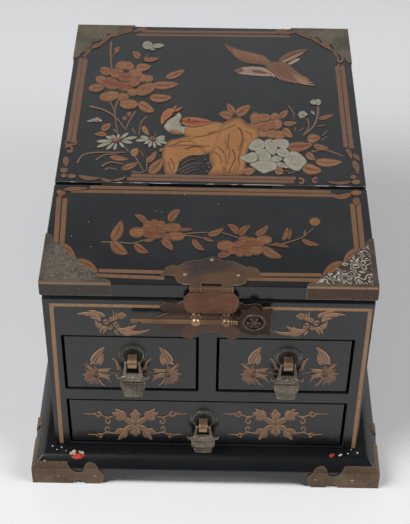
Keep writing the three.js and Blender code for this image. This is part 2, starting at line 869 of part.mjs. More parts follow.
function makeLock() {
  const rise = bodyTop - lockPlateDrop - barZ;
  const fall = barZ - (smallBayTop - drawerGap + lockPlateLift);
  const half = [
    [0, rise],
    [0.47, rise],
    [0.6, rise * 0.83],
    [0.71, rise * 0.87],
    [0.83, rise * 0.9],
    [0.92, rise * 0.66],
    [0.87, rise * 0.35],
    [0.75, rise * 0.28],
    [0.84, rise * 0.1],
    [1, -fall * 0.07],
    [0.94, -fall * 0.31],
    [0.82, -fall * 0.58],
    [0.68, -fall * 0.67],
    [0.56, -fall * 0.83],
    [0.45, -fall * 0.97],
    [0.34, -fall],
    [0.25, -fall * 0.85],
    [0.13, -fall * 0.71],
    [0, -fall * 0.69],
  ].map(([share, v]) => [share * lockPlateHalf, barZ + v]);
  const plate = frontPlate(mirroredOutline(lockOffset, half, 54), bodyFront - sheet, bodyFront);
  place("lock_plate", plate, brass());
  const bore = barRadius + barClearance;
  for (const [sideName, sx] of [["left", -1], ["right", 1]]) {
    const x = lockOffset + (sx * eyeSpacing) / 2;
    const profile = [
      [bore, -eyeWidth / 2],
      [eyeOuter - eyeBevel, -eyeWidth / 2],
      [eyeOuter, -eyeWidth / 4],
      [eyeOuter, eyeWidth / 4],
      [eyeOuter - eyeBevel, eyeWidth / 2],
      [bore, eyeWidth / 2],
      [bore, -eyeWidth / 2],
    ];
    const ring = new THREE.LatheGeometry(profile.map(([r, u]) => new THREE.Vector2(r, u)), 20);
    ring.rotateZ(-Math.PI / 2);
    ring.translate(x, barY, barZ);
    const stemRadius = eyeWidth / 2 - stemClear;
    const stemLength = eyeOuter - bore + eyeStandOff - stemClear;
    const stem = new THREE.CylinderGeometry(stemRadius, stemRadius, stemLength, 12);
    stem.translate(x, bodyFront - sheet - stemLength / 2, barZ);
    const solid = join(toSolid(ring), toSolid(stem));
    place("lock_eye_" + sideName, solid, brightBrass());
  }
}

function makeLockBar() {
  const tip = lockOffset - barReach;
  const neckX = lockOffset + barHeadStart;
  const tipHole = new THREE.CylinderGeometry(barTipHole, barTipHole, barRadius * 4, 10);
  tipHole.translate(tip + barTipInset, barY, barZ);
  const rod = bar(tip, neckX, barY, barZ, barRadius).subtract(toSolid(tipHole));
  place("lock_bar", rod, brightBrass());
  const c = lockOffset + headCentre;
  const h = headHalfHeight;
  const points = [
    [neckX + 0.05 - c, 3.2],
    [-10, 5.2],
    [-8.6, 8],
    [-9, h * 0.96],
    [-4.5, h * 0.9],
    [-2.6, h + 1.6],
    [0, h + 3.6],
    [2.6, h + 1.6],
    [4.5, h * 0.84],
    [8, h * 0.9],
    [12.6, h],
    [11.8, h * 0.5],
    [12.2, 0],
    [11.8, -h * 0.5],
    [12.6, -h],
    [7.5, -h * 0.82],
    [4, -h * 0.86],
    [1.5, -h],
    [-1.5, -h * 0.9],
    [-6, -h * 0.78],
    [-9.6, -h * 0.66],
    [-11, -h * 0.4],
    [neckX + 0.05 - c, -3.2],
  ];
  const shape = outline(points.map(([u, v]) => [c + u, barZ + v]));
  const plate = frontPlate(shape, barY - headSheet / 2, barY + headSheet / 2);
  const ringPath = new THREE.Shape();
  ringPath.absarc(c, barZ, roundelRadius, 0, 2 * Math.PI, false);
  const disc = frontPlate(ringPath, barY - headSheet, barY + headSheet, 14);
  const hubPath = new THREE.Shape();
  hubPath.absarc(c, barZ, roundelHub, 0, 2 * Math.PI, false);
  const kept = [frontPlate(hubPath, barY - headSheet, barY + headSheet, 8)];
  for (let i = 0; i < 3; i++) {
    const turn = (i * 2 * Math.PI) / 3 + Math.PI / 2;
    const across = [-Math.sin(turn) * roundelSpoke, Math.cos(turn) * roundelSpoke];
    const out = [Math.cos(turn) * (roundelRadius + 1), Math.sin(turn) * (roundelRadius + 1)];
    const arm = outline([
      [c + across[0], barZ + across[1]],
      [c - across[0], barZ - across[1]],
      [c + out[0] - across[0], barZ + out[1] - across[1]],
      [c + out[0] + across[0], barZ + out[1] + across[1]],
    ]);
    kept.push(frontPlate(arm, barY - headSheet, barY + headSheet));
  }
  const windows = cut(disc, ...kept);
  place("lock_bar_head", plate.subtract(windows), brass());
}

makePlinth();
makeFootMounts();
makeCarcase();
makeDrawers();
makeLids();
makeMirror();
for (const [sideName, sx] of [["left", -1], ["right", 1]]) {
  makeSeamHinge("seam_hinge_" + sideName, (sx * seamHingeSpread) / 2);
  makeRearHinge("rear_hinge_" + sideName, (sx * rearHingeSpread) / 2);
}
makeHasp();
makeLock();
makeLockBar();

export default dressingCase;
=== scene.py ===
"""Looks of a travel dressing case in black lacquer, with raised gold work and brass mounts.

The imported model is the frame. Every piece is in metres in that frame and rides on one of its bodies.
Drawn ornaments are given in the pixels of an enlarged part of the photograph, and each of their points
is carried through the camera to the flat face that the ornament lies on.
"""

from __future__ import annotations

import logging
import math
import random
from dataclasses import dataclass, field
from enum import Enum
from typing import Any, Callable, Iterable, Sequence

import bmesh
import bpy
from mathutils import Matrix, Vector
from mathutils.bvhtree import BVHTree

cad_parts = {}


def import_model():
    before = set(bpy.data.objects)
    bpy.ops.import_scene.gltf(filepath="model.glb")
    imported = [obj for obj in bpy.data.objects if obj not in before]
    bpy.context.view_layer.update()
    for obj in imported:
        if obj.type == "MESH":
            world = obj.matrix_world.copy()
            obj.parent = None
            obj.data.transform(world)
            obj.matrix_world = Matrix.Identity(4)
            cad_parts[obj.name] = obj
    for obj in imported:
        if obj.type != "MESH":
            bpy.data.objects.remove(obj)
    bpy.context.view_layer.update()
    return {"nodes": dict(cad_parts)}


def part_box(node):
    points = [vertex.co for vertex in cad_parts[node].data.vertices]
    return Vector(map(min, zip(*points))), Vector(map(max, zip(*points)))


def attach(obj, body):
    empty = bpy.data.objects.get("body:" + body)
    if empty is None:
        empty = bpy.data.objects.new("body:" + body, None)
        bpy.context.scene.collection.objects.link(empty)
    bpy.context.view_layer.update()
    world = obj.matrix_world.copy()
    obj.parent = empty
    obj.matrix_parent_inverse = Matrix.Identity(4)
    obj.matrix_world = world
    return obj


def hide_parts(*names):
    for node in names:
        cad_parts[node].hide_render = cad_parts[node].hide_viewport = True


LOG = logging.getLogger("dressing_case")
MM = 0.001
Point = tuple[float, float]
Colour = tuple[float, float, float]
Nodes = dict[str, bpy.types.Object]


class Body(str, Enum):
    """The moving bodies of the case."""

    CASE = "case"
    REAR_LID = "rear_lid_panel"
    FRONT_LID = "front_lid_panel"
    HASP = "hasp"
    BAR = "sliding_bar"
    LEFT_DRAWER = "left_drawer"
    RIGHT_DRAWER = "right_drawer"
    LONG_DRAWER = "long_drawer"
    LEFT_PULL = "left_pull"
    RIGHT_PULL = "right_pull"
    LONG_PULL = "long_pull"


class Slot(str, Enum):
    """The material slots of the record."""

    LACQUER = "black_lacquer"
    WOOD = "bare_wood"
    AGED = "aged_brass"
    WORN = "worn_brass"
    RED = "red_brass"
    MIRROR = "mirror_glass"


# Camera


@dataclass(frozen=True)
class PhotoCamera:
    """The camera of the photograph, fitted to the corners of the case."""

    place: tuple[float, float, float] = (-0.00074, -0.8072, 0.8060)
    down_deg: float = 42.39
    turn_deg: float = -0.187
    roll_deg: float = 0.844
    focal_px: float = 1314.6
    width_px: int = 410
    height_px: int = 524
    sensor_mm: float = 36.0

    def axes(self) -> tuple[Vector, Vector, Vector]:
        """The camera's right, down and forward directions."""
        down, turn, roll = (math.radians(a) for a in (self.down_deg, self.turn_deg, self.roll_deg))
        forward = Vector(
            (math.sin(turn) * math.cos(down), math.cos(turn) * math.cos(down), -math.sin(down))
        )
        level = Vector((math.cos(turn), -math.sin(turn), 0.0))
        below = forward.cross(level)
        right = math.cos(roll) * level - math.sin(roll) * below
        lower = math.sin(roll) * level + math.cos(roll) * below
        return right, lower, forward

    def ray(self, pixel: Point) -> Vector:
        """The direction in which a pixel looks."""
        right, lower, forward = self.axes()
        across = (pixel[0] - self.width_px / 2) / self.focal_px
        drop = (pixel[1] - self.height_px / 2) / self.focal_px
        return forward + right * across + lower * drop

    def on_piece(self, pixel: Point, name: str) -> Vector:
        """The point of a piece that a pixel shows.

        Args:
            pixel: place in the photograph.
            name: the piece, as it is named in the scene.

        Returns:
            The point in the frame.

        Raises:
            ValueError: the pixel looks past the piece.
        """
        mesh = bpy.data.objects[name].data
        surface = BVHTree.FromPolygons([v.co for v in mesh.vertices], [p.vertices for p in mesh.polygons])
        spot = surface.ray_cast(Vector(self.place), self.ray(pixel))[0]
        if spot is None:
            raise ValueError(f"pixel {pixel} looks past {name}")
        return spot

    def on_plane(self, pixel: Point, axis: int, level: float) -> Vector:
        """The point of a flat face that a pixel shows.

        Args:
            pixel: place in the photograph.
            axis: the world axis that the face is square to.
            level: the face's coordinate on that axis.

        Returns:
            The point in the frame.
        """
        ray = self.ray(pixel)
        start = Vector(self.place)
        return start + ray * ((level - start[axis]) / ray[axis])

    def build(self) -> None:
        """Makes the scene's camera."""
        right, lower, forward = self.axes()
        data = bpy.data.cameras.new("photo_camera")
        data.sensor_width = self.sensor_mm
        data.lens = self.focal_px / self.height_px * self.sensor_mm
        camera = bpy.data.objects.new("photo_camera", data)
        turn = Matrix((right, -lower, -forward)).transposed().to_4x4()
        camera.matrix_world = Matrix.Translation(self.place) @ turn
        bpy.context.scene.collection.objects.link(camera)
        bpy.context.scene.camera = camera


# Node trees


class NodeSheet:
    """A node tree that is written as expressions."""

    def __init__(self, tree: bpy.types.NodeTree) -> None:
        """Keeps the tree and clears it."""
        self.tree = tree
        self.tree.nodes.clear()

    def node(
        self,
        kind: str,
        settings: dict[str, Any] | None = None,
        inputs: dict[int | str, Any] | None = None,
        output: int | str = 0,
    ) -> Signal:
        """Adds a node.

        Args:
            kind: the node's type.
            settings: its own settings.
            inputs: values or signals of its sockets, by index or name.
            output: the socket that is given back.

        Returns:
            The chosen output as a signal.
        """
        made = self.tree.nodes.new(kind)
        for name, value in (settings or {}).items():
            setattr(made, name, value)
        for key, value in (inputs or {}).items():
            if isinstance(value, Signal):
                self.tree.links.new(value.socket, made.inputs[key])
            else:
                made.inputs[key].default_value = value
        return Signal(self, made.outputs[output]) if made.outputs else Signal(self, made.inputs[0])


class Signal:
    """A socket that takes part in sums."""

    def __init__(self, sheet: NodeSheet, socket: bpy.types.NodeSocket) -> None:
        """Keeps the socket and the sheet that it is on."""
        self.sheet = sheet
        self.socket = socket

    def _math(self, operation: str, first: Any, second: Any = 0.0, clamp: bool = False) -> Signal:
        """Adds one Math node."""
        settings = {"operation": operation, "use_clamp": clamp}
        return self.sheet.node("ShaderNodeMath", settings, {0: first, 1: second})

    @staticmethod
    def _operator(operation: str, swapped: bool = False) -> Callable[[Signal, Any], Signal]:
        """A Python operator that adds a Math node, with its two values swapped on request."""

        def combined(self: Signal, other: Any) -> Signal:
            pair = (other, self) if swapped else (self, other)
            return self._math(operation, *pair)

        return combined

    __add__ = _operator("ADD")
    __radd__ = _operator("ADD", swapped=True)
    __sub__ = _operator("SUBTRACT")
    __rsub__ = _operator("SUBTRACT", swapped=True)
    __mul__ = _operator("MULTIPLY")
    __rmul__ = _operator("MULTIPLY", swapped=True)

    def wave(self) -> Signal:
        """The sine of self, brought into 0 to 1."""
        return 0.5 + 0.5 * self._math("SINE", self)

    def size(self) -> Signal:
        """self without its sign."""
        return self._math("ABSOLUTE", self)

    def limited(self) -> Signal:
        """self held between 0 and 1."""
        return self._math("ADD", self, 0.0, clamp=True)

    def step(self, low: float, high: float) -> Signal:
        """A smooth rise from 0 at low to 1 at high, or a fall where low is the larger."""
        rising = low < high
        first, last = (low, high) if rising else (high, low)
        ends = {3: 0.0, 4: 1.0} if rising else {3: 1.0, 4: 0.0}
        return self.sheet.node(
            "ShaderNodeMapRange",
            {"interpolation_type": "SMOOTHSTEP"},
            {0: self, 1: first, 2: last, **ends},
        )


class Shade(NodeSheet):
    """A material in the making."""

    def __init__(self, name: str) -> None:
        """Starts a material with a Principled surface."""
        self.material = bpy.data.materials.new(name)
        self.material.use_nodes = True
        super().__init__(self.material.node_tree)
        self.surface = self.tree.nodes.new("ShaderNodeBsdfPrincipled")
        output = self.tree.nodes.new("ShaderNodeOutputMaterial")
        self.tree.links.new(self.surface.outputs[0], output.inputs["Surface"])
        self.place = self.node("ShaderNodeTexCoord", output="Object")

    def stretched(self, scale: tuple[float, float, float]) -> Signal:
        """The place on the piece, scaled along each axis."""
        return self.node("ShaderNodeMapping", None, {"Vector": self.place, "Scale": scale})

    def noise(self, scale: float, detail: float = 3.0, at: Signal | None = None) -> Signal:
        """Smooth noise with the given number of cells in a metre."""
        sockets = {"Vector": at or self.place, "Scale": scale, "Detail": detail}
        return self.node("ShaderNodeTexNoise", None, sockets)

    def attribute(self, name: str) -> Signal:
        """A number stored on the piece's points."""
        return self.node("ShaderNodeAttribute", {"attribute_name": name}, output="Fac")

    def blend(self, share: Any, first: Any, second: Any) -> Signal:
        """A colour between two others."""
        colours = [c if isinstance(c, Signal) else (*c, 1.0) for c in (first, second)]
        sockets = {0: share, 6: colours[0], 7: colours[1]}
        settings = {"data_type": "RGBA", "clamp_factor": True}
        return self.node("ShaderNodeMix", settings, sockets, output=2)

    def edge(self, radius: float) -> Signal:
        """1 on sharp edges and 0 on flat stretches.

        Args:
            radius: how far the edge reaches over the faces, in metres.
        """
        rounded = self.node("ShaderNodeBevel", {"samples": 4}, {"Radius": radius})
        flat = self.node("ShaderNodeNewGeometry", output="Normal")
        along = self.node("ShaderNodeVectorMath", {"operation": "DOT_PRODUCT"},
                          {0: rounded, 1: flat}, output="Value")
        return along.step(0.995, 0.9)

    def across(self, axis: str) -> Signal:
        """One coordinate of the place on the piece."""
        return self.node("ShaderNodeSeparateXYZ", None, {0: self.place}, output=axis)

    def raised(self, height: Signal, distance: float, strength: float = 1.0) -> Signal:
        """A normal bent by a height."""
        return self.node("ShaderNodeBump", None,
                         {"Strength": strength, "Distance": distance, "Height": height})

    def dress(self, **sockets: Any) -> bpy.types.Material:
        """Sets the surface's sockets, with spaces written as underscores, and gives the material."""
        for name, value in sockets.items():
            socket = self.surface.inputs[name.replace("_", " ")]
            if isinstance(value, Signal):
                self.tree.links.new(value.socket, socket)
            else:
                socket.default_value = (*value, 1.0) if isinstance(value, tuple) else value
        return self.material


# Finishes


@dataclass(frozen=True)
class Lacquer:
    """Black lacquer over wood, rubbed at its edges.

    chip_and_highlight_at is the y and z of an edge whose lacquer is broken to pale ground, with a painted
    highlight along it, if there is one.
    foot_reflection_height is the height under which a painted reflection of the floor lightens the middle,
    or 0.
    """

    name: str = "black_lacquer"
    ground: Colour = (0.0055, 0.0060, 0.0068)
    bloom: Colour = (0.016, 0.0165, 0.0175)
    worn: Colour = (0.060, 0.045, 0.034)
    # Pale colours of that edge: broken and rubbed lacquer with a painted highlight over it.
    chip_and_highlight: Colour = (0.38, 0.36, 0.33)
    rubbed_and_highlit_line: Colour = (0.085, 0.080, 0.078)
    roughness: float = 0.20
    chip_and_highlight_at: Point | None = None
    chip_and_highlight_width: float = 0.6 * MM
    # Height, half width and colour of a painted reflection of the floor, low on the piece.
    foot_reflection_height: float = 0.0
    foot_reflection_half: float = 80 * MM
    foot_reflection_colour: Colour = (0.105, 0.104, 0.100)
    streak_cells: tuple[float, float, float] = (14.0, 420.0, 420.0)
    break_cells: tuple[float, float, float] = (95.0, 400.0, 400.0)
    cloud_cells: float = 22.0
    patch_cells: float = 160.0
    dust_cells: float = 1500.0
    ripple_cells: float = 240.0
    edge_reach: float = 0.7 * MM

    def build(self) -> bpy.types.Material:
        """Makes the material."""
        shade = Shade(self.name)
        streaks = shade.noise(1.0, 4.0, shade.stretched(self.streak_cells))
        clouds = shade.noise(self.cloud_cells, 4.0)
        dust = shade.noise(self.dust_cells, 1.0).step(0.77, 0.84)
        patchy = shade.noise(self.patch_cells, 3.0)
        rubbed = shade.edge(self.edge_reach) * patchy.step(0.45, 0.65)
        colour = shade.blend(clouds.step(0.4, 0.75) * 0.6 + dust * 0.5, self.ground, self.bloom)
        colour = shade.blend(rubbed * 0.6, colour, self.worn)
        # A pale line and pale chips along one edge: partly wear, partly a painted highlight.
        if self.chip_and_highlight_at is not None:
            edge_y, edge_z = self.chip_and_highlight_at
            near = (shade.across("Y") - edge_y).step(self.chip_and_highlight_width, 0.2 * self.chip_and_highlight_width)
            high = (shade.across("Z") - edge_z).step(-self.chip_and_highlight_width, -0.4 * self.chip_and_highlight_width)
            broken = shade.noise(1.0, 4.0, shade.stretched(self.break_cells)).step(0.52, 0.56)
            colour = shade.blend(near * high, colour, self.rubbed_and_highlit_line)
            colour = shade.blend(near * high * broken, colour, self.chip_and_highlight)
        # A painted reflection of the floor: lighter low down and round the middle.
        if self.foot_reflection_height:
            low = shade.across("Z").step(self.foot_reflection_height, 0.15 * self.foot_reflection_height)
            middle = shade.across("X").size().step(self.foot_reflection_half, 0.3 * self.foot_reflection_half)
            colour = shade.blend(low * middle * (0.6 + 0.4 * clouds), colour, self.foot_reflection_colour)
        height = streaks * 0.6 + shade.noise(self.ripple_cells, 2.0) * 0.4
        return shade.dress(
            Base_Color=colour,
            Roughness=self.roughness + 0.10 * clouds + 0.2 * rubbed + 0.05 * streaks,
            Specular_IOR_Level=0.45,
            Coat_Weight=0.13 - 0.11 * rubbed,
            Coat_Roughness=0.12,
            Normal=shade.raised(height, 0.05 * MM, 0.5),
        )


@dataclass(frozen=True)
class ReliefPaint:
    """Painted relief: a light field that deepens inwards, with a dark outline, ribs and rays.

    The marks on the points come from the Relief class.
    """

    name: str
    light: Colour
    deep: Colour
    line: Colour = (0.012, 0.009, 0.007)
    metallic: float = 0.12
    roughness: float = 0.5
    crackle: float = 0.0
    outline: tuple[float, float] = (0.77, 0.93)
    drawn: float = 0.6
    clouded: float = 0.9
    fleck_cells: float = 950.0
    cloud_cells: float = 240.0
    crackle_cells: float = 620.0
    rib_turns: float = 38.0
    ray_turns: float = 11.0

    def build(self) -> bpy.types.Material:
        """Makes the material."""
        shade = Shade(self.name)
        rim, tone, across, along, kind = (shade.attribute(mark) for mark in RELIEF_MARKS)
        fleck = shade.noise(self.fleck_cells, 3.0)
        cloud = shade.noise(self.cloud_cells, 2.0)
        inward = rim.step(0.74, 0.25)
        depth = (tone * (0.25 + 0.9 * inward) + self.clouded * (cloud - 0.5)).limited()
        colour = shade.blend(depth, self.light, self.deep)
        colour = shade.blend(fleck.step(0.55, 0.7) * 0.3, colour, self.line)
        leaf = (1.0 - (kind - 1.0).size()).limited()
        flower = (kind - 1.0).limited()
        midrib = across.size().step(0.17, 0.06)
        ribs = (along * self.rib_turns - across.size() * 6.0).wave().step(0.82, 0.97)
        rays = (across * self.ray_turns + along * 4.0).wave().step(0.8, 0.97)
        strokes = (leaf * (midrib + ribs * 0.45) + flower * rays * 0.7).limited()
        colour = shade.blend(strokes * self.drawn, colour, self.line)
        if self.crackle:
            cells = shade.node("ShaderNodeTexVoronoi", {"feature": "DISTANCE_TO_EDGE"},
                               {"Vector": shade.place, "Scale": self.crackle_cells})
            colour = shade.blend(cells.step(0.06, 0.0) * self.crackle, colour, self.line)
        outline = rim.step(*self.outline)
        colour = shade.blend(outline, colour, self.line)
        return shade.dress(
            Base_Color=colour,
            Metallic=self.metallic * (1.0 - outline) if self.metallic else 0.0,
            Roughness=self.roughness + 0.2 * (fleck - 0.5) + 0.15 * outline,
            Normal=shade.raised(fleck * 0.4 + cloud * 0.4 - strokes * 0.3, 0.12 * MM, 0.6),
        )


@dataclass(frozen=True)
class Brass:
    """Old brass: dark in its hollows and bright on its edges, with engraved scrolls.

    Engraving is 0 for none. A fence holds a half x, a half y and a z: the scrolls stay inside and above
    it, and what is below z has the flange's colour. With a diagonal, the scrolls also stay outside the
    line where x and y add up to it. A folded sheet has a pale line painted along the fold at its front as
    a highlight. Dulled holds an x, a y and a reach, and the metal is dull round that place. Nails are the
    x and y, in millimetres, of nail heads that are painted bright as highlights.
    """

    name: str
    field: Colour
    dark: Colour
    bright: Colour
    roughness: float = 0.42
    engraving: float = 0.0
    fence: tuple[float, float, float] | None = None
    diagonal: float = 0.0
    nails: Sequence[Point] = ()
    # Colour of the highlight painted on the nail heads.
    nail: Colour = (0.50, 0.42, 0.31)
    whorl_cells: float = 130.0
    whorl_turns: float = 44.0
    metallic: float = 0.75
    mottle: float = 0.3
    flange: Colour = (0.050, 0.044, 0.040)
    dulled: tuple[float, float, float] | None = None
    edge_reach: float = 0.5 * MM
    folded: bool = False
    # Colour of the highlight painted along the fold.
    fold: Colour = (0.30, 0.175, 0.092)
    fold_from: float = 160.0 * MM
    cloud_cells: float = 55.0
    fine_cells: float = 800.0
    nail_radius: float = 1.2 * MM

    def build(self) -> bpy.types.Material:
        """Makes the material."""
        shade = Shade(self.name)
        cloud = shade.noise(self.cloud_cells, 3.0)
        fine = shade.noise(self.fine_cells, 3.0)
        edge = shade.edge(self.edge_reach)
        colour = shade.blend(cloud.step(0.62, 0.34) * 0.75, self.field, self.dark)
        if self.fence is not None:
            level = shade.across("Z")
            below = level.step(self.fence[2] - 0.1 * MM, self.fence[2] - 0.6 * MM)
            colour = shade.blend(below, colour, self.flange)
            # A painted highlight: a pale line along the sheet's fold at its front.
            if self.folded:
                near = (shade.across("Y") * -1.0).step(self.fold_from, self.fold_from + 0.4 * MM)
                high = level.step(self.fence[2] - 1.0 * MM, self.fence[2] - 0.5 * MM)
                colour = shade.blend(near * high * (0.5 + 0.5 * fine), colour, self.fold)
        if self.dulled is not None:
            x, y, reach = self.dulled
            off_x = (shade.across("X") - x) * (1.0 / reach)
            off_y = (shade.across("Y") - y) * (1.7 / reach)
            dull = (off_x * off_x + off_y * off_y + (cloud - 0.5)).step(1.1, 0.3)
            colour = shade.blend(dull * 0.85, colour, self.dark)
        colour = shade.blend(fine.step(0.52, 0.72) * self.mottle, colour, self.bright)
        height = fine * 0.3 + cloud * 0.2
        if self.engraving:
            amount = self._inside(shade) * self.engraving
            groove = (shade.noise(self.whorl_cells, 1.2) * self.whorl_turns).wave()
            cut = groove.step(0.3, 0.1) * amount
            colour = shade.blend(cut * 0.8, colour, self.dark)
            colour = shade.blend(groove.step(0.66, 0.9) * amount, colour, self.bright)
            height = height - cut
        # Edges are blended towards the bright colour: rubbed metal on most finishes, a painted highlight
        # on the rosette's flutes.
        colour = shade.blend(edge * (0.35 + 0.6 * fine.step(0.35, 0.6)), colour, self.bright)
        # Painted highlights: each nail head blended towards the nail colour.
        for x, y in self.nails:
            off_x, off_y = shade.across("X") - x * MM, shade.across("Y") - y * MM
            rim, inside = self.nail_radius ** 2, (2 / 3 * self.nail_radius) ** 2
            head = (off_x * off_x + off_y * off_y).step(rim, inside)
            colour = shade.blend(head * (0.5 + 0.5 * fine), colour, self.nail)
        return shade.dress(
            Base_Color=colour,
            Metallic=self.metallic,
            Roughness=self.roughness + 0.2 * (1.0 - cloud) - 0.12 * edge,
            Normal=shade.raised(height, 0.15 * MM, 0.7),
        )

    def _inside(self, shade: Shade) -> Signal | float:
        """1 inside the fence and 0 outside it."""
        if self.fence is None:
            return 1.0
        half_x, half_y, level = self.fence
        soft = 1.2 * MM
        in_x = shade.across("X").size().step(half_x + soft, half_x)
        in_y = shade.across("Y").size().step(half_y + soft, half_y)
        corner = in_x * in_y * shade.across("Z").step(level - 0.3 * MM, level)
        if not self.diagonal:
            return corner
        far = shade.across("X").size() + shade.across("Y").size()
        return corner * far.step(self.diagonal - soft, self.diagonal + soft)


@dataclass(frozen=True)
class BareWood:
    """Plain wood, its grain along one axis."""

    name: str = "bare_wood"
    early: Colour = (0.30, 0.185, 0.095)
    late: Colour = (0.17, 0.092, 0.043)
    grain: tuple[float, float, float] = (260.0, 9.0, 260.0)

    def build(self) -> bpy.types.Material:
        """Makes the material."""
        shade = Shade(self.name)
        fibre = shade.noise(1.0, 6.0, shade.stretched(self.grain))
        broad = shade.noise(1.0, 2.0, shade.stretched(tuple(g * 0.2 for g in self.grain)))
        bands = (broad * 34.0 + fibre * 3.0).wave()
        colour = shade.blend(bands * 0.6 + fibre * 0.4, self.early, self.late)
        return shade.dress(
            Base_Color=colour,
            Roughness=0.58 + 0.2 * fibre,
            Normal=shade.raised(fibre, 0.15 * MM, 0.6),
        )


@dataclass(frozen=True)
class MirrorGlass:
    """Silvered glass with a few dull specks."""

    name: str = "mirror_glass"
    silver: Colour = (0.86, 0.88, 0.88)
    speck: Colour = (0.22, 0.21, 0.19)

    def build(self) -> bpy.types.Material:
        """Makes the material."""
        shade = Shade(self.name)
        specks = shade.noise(260.0, 3.0).step(0.7, 0.78)
        haze = shade.noise(30.0, 2.0)
        return shade.dress(
            Base_Color=shade.blend(specks, self.silver, self.speck),
            Metallic=1.0 - 0.4 * specks,
            Roughness=0.03 + 0.05 * haze + 0.3 * specks,
        )


@dataclass(frozen=True)
class Wax:
    """Crumbs of old wax."""

    name: str
    light: Colour
    deep: Colour

    def build(self) -> bpy.types.Material:
        """Makes the material."""
        shade = Shade(self.name)
        mixed = shade.noise(520.0, 2.0)
        return shade.dress(
            Base_Color=shade.blend(mixed.step(0.35, 0.65), self.light, self.deep),
            Roughness=0.45 + 0.2 * mixed,
            Normal=shade.raised(shade.noise(1200.0, 2.0), 0.2 * MM, 0.7),
        )


@dataclass(frozen=True)
class PaleFloor:
    """The plain pale surface that the case stands on."""

    name: str = "pale_floor"
    light: Colour = (0.74, 0.74, 0.752)
    soft: Colour = (0.70, 0.70, 0.712)

    def build(self) -> bpy.types.Material:
        """Makes the material."""
        shade = Shade(self.name)
        cloud = shade.noise(3.0, 2.0)
        return shade.dress(Base_Color=shade.blend(cloud, self.light, self.soft), Roughness=0.75)


GOLD = ReliefPaint("gold_relief", light=(0.275, 0.138, 0.056), deep=(0.165, 0.046, 0.024),
                   line=(0.022, 0.013, 0.010), outline=(0.50, 1.0), clouded=1.3)
FRONT_GOLD = ReliefPaint("front_gold_relief", light=(0.210, 0.093, 0.033), deep=(0.120, 0.033, 0.015),
                         line=(0.018, 0.010, 0.008), outline=(0.50, 1.0), clouded=1.3)
DULL_GOLD = ReliefPaint("dull_gold_relief", light=(0.200, 0.102, 0.047), deep=(0.056, 0.024, 0.018),
                        line=(0.40, 0.235, 0.12), outline=(0.66, 0.93), metallic=0.0)
REDDENED = ReliefPaint("red_gold_relief", light=(0.19, 0.096, 0.052), deep=(0.12, 0.045, 0.029),
                       outline=(0.70, 1.0))
PLUMAGE = ReliefPaint("brown_plumage", light=(0.136, 0.075, 0.044), deep=(0.136, 0.050, 0.028),
                      outline=(0.80, 1.0))
QUILL = ReliefPaint("feather_lines", light=(0.255, 0.150, 0.083), deep=(0.18, 0.090, 0.050),
                    outline=(0.97, 1.2), drawn=0.0)
ROSY = ReliefPaint("rosy_plumage", light=(0.26, 0.198, 0.155), deep=(0.195, 0.094, 0.069),
                   outline=(0.92, 0.99), metallic=0.0, drawn=0.0)
FIERY = ReliefPaint("orange_relief", light=(0.31, 0.128, 0.045), deep=(0.25, 0.056, 0.028))
ROCK = ReliefPaint("ochre_rock", light=(0.310, 0.143, 0.046), deep=(0.215, 0.076, 0.027),
                   line=(0.11, 0.045, 0.020), outline=(0.60, 1.05))
FOLD = ReliefPaint("rock_shadow", light=(0.19, 0.066, 0.024), deep=(0.075, 0.028, 0.014),
                   outline=(0.97, 1.2), metallic=0.0)
STEM = ReliefPaint("stem_relief", light=(0.19, 0.112, 0.070), deep=(0.12, 0.058, 0.035),
                   outline=(0.60, 1.1), drawn=0.0)
CREAM = ReliefPaint("cream_relief", light=(0.285, 0.265, 0.200), deep=(0.12, 0.115, 0.085),
                    metallic=0.0, crackle=0.5, outline=(0.74, 0.93), drawn=0.4)
INK = ReliefPaint("drawn_lines", light=(0.024, 0.014, 0.010), deep=(0.012, 0.009, 0.008),
                  metallic=0.0)
BORDER = ReliefPaint("gold_border", light=(0.150, 0.075, 0.033), deep=(0.078, 0.032, 0.017),
                     outline=(0.6, 1.1), clouded=1.5)
CASE_LINE = ReliefPaint("case_gold_line", light=(0.27, 0.152, 0.071), deep=(0.14, 0.070, 0.036),
                        clouded=1.5)
PINK_BORDER = ReliefPaint("red_gold_border", light=(0.145, 0.074, 0.045), deep=(0.076, 0.034, 0.025),
                          clouded=1.5)
RED_WAX = Wax("red_wax", light=(0.46, 0.028, 0.024), deep=(0.28, 0.015, 0.013))
CREAM_WAX = Wax("cream_wax", light=(0.46, 0.38, 0.28), deep=(0.30, 0.23, 0.16))
PALE_SPECK = Wax("pale_speck", light=(0.60, 0.60, 0.58), deep=(0.40, 0.40, 0.38))

LID_FENCE = (111.0 * MM, 157.0 * MM, 194.6 * MM)
BRACKETS = {
    # The front brackets get a highlight painted along their front fold.
    "front_left": Brass("front_left_bracket_brass", field=(0.165, 0.135, 0.106),
                        dark=(0.066, 0.054, 0.043), bright=(0.32, 0.28, 0.22), engraving=0.35,
                        fence=LID_FENCE, folded=True, mottle=0.1, flange=(0.056, 0.049, 0.044)),
    "front_right": Brass("front_right_bracket_brass", field=(0.150, 0.110, 0.082),
                         dark=(0.062, 0.046, 0.034), bright=(0.56, 0.51, 0.44), engraving=0.9,
                         fence=LID_FENCE, diagonal=229 * MM, folded=True, mottle=0.06,
                         flange=(0.072, 0.044, 0.030)),
    "rear_left": Brass("rear_left_bracket_brass", field=(0.185, 0.160, 0.114),
                       dark=(0.100, 0.080, 0.060), bright=(0.32, 0.26, 0.19), engraving=0.2,
                       fence=LID_FENCE, mottle=0.2),
    "rear_right": Brass("rear_right_bracket_brass", field=(0.180, 0.150, 0.116),
                        dark=(0.096, 0.076, 0.062), bright=(0.34, 0.29, 0.22), engraving=0.25,
                        fence=LID_FENCE, mottle=0.2),
}
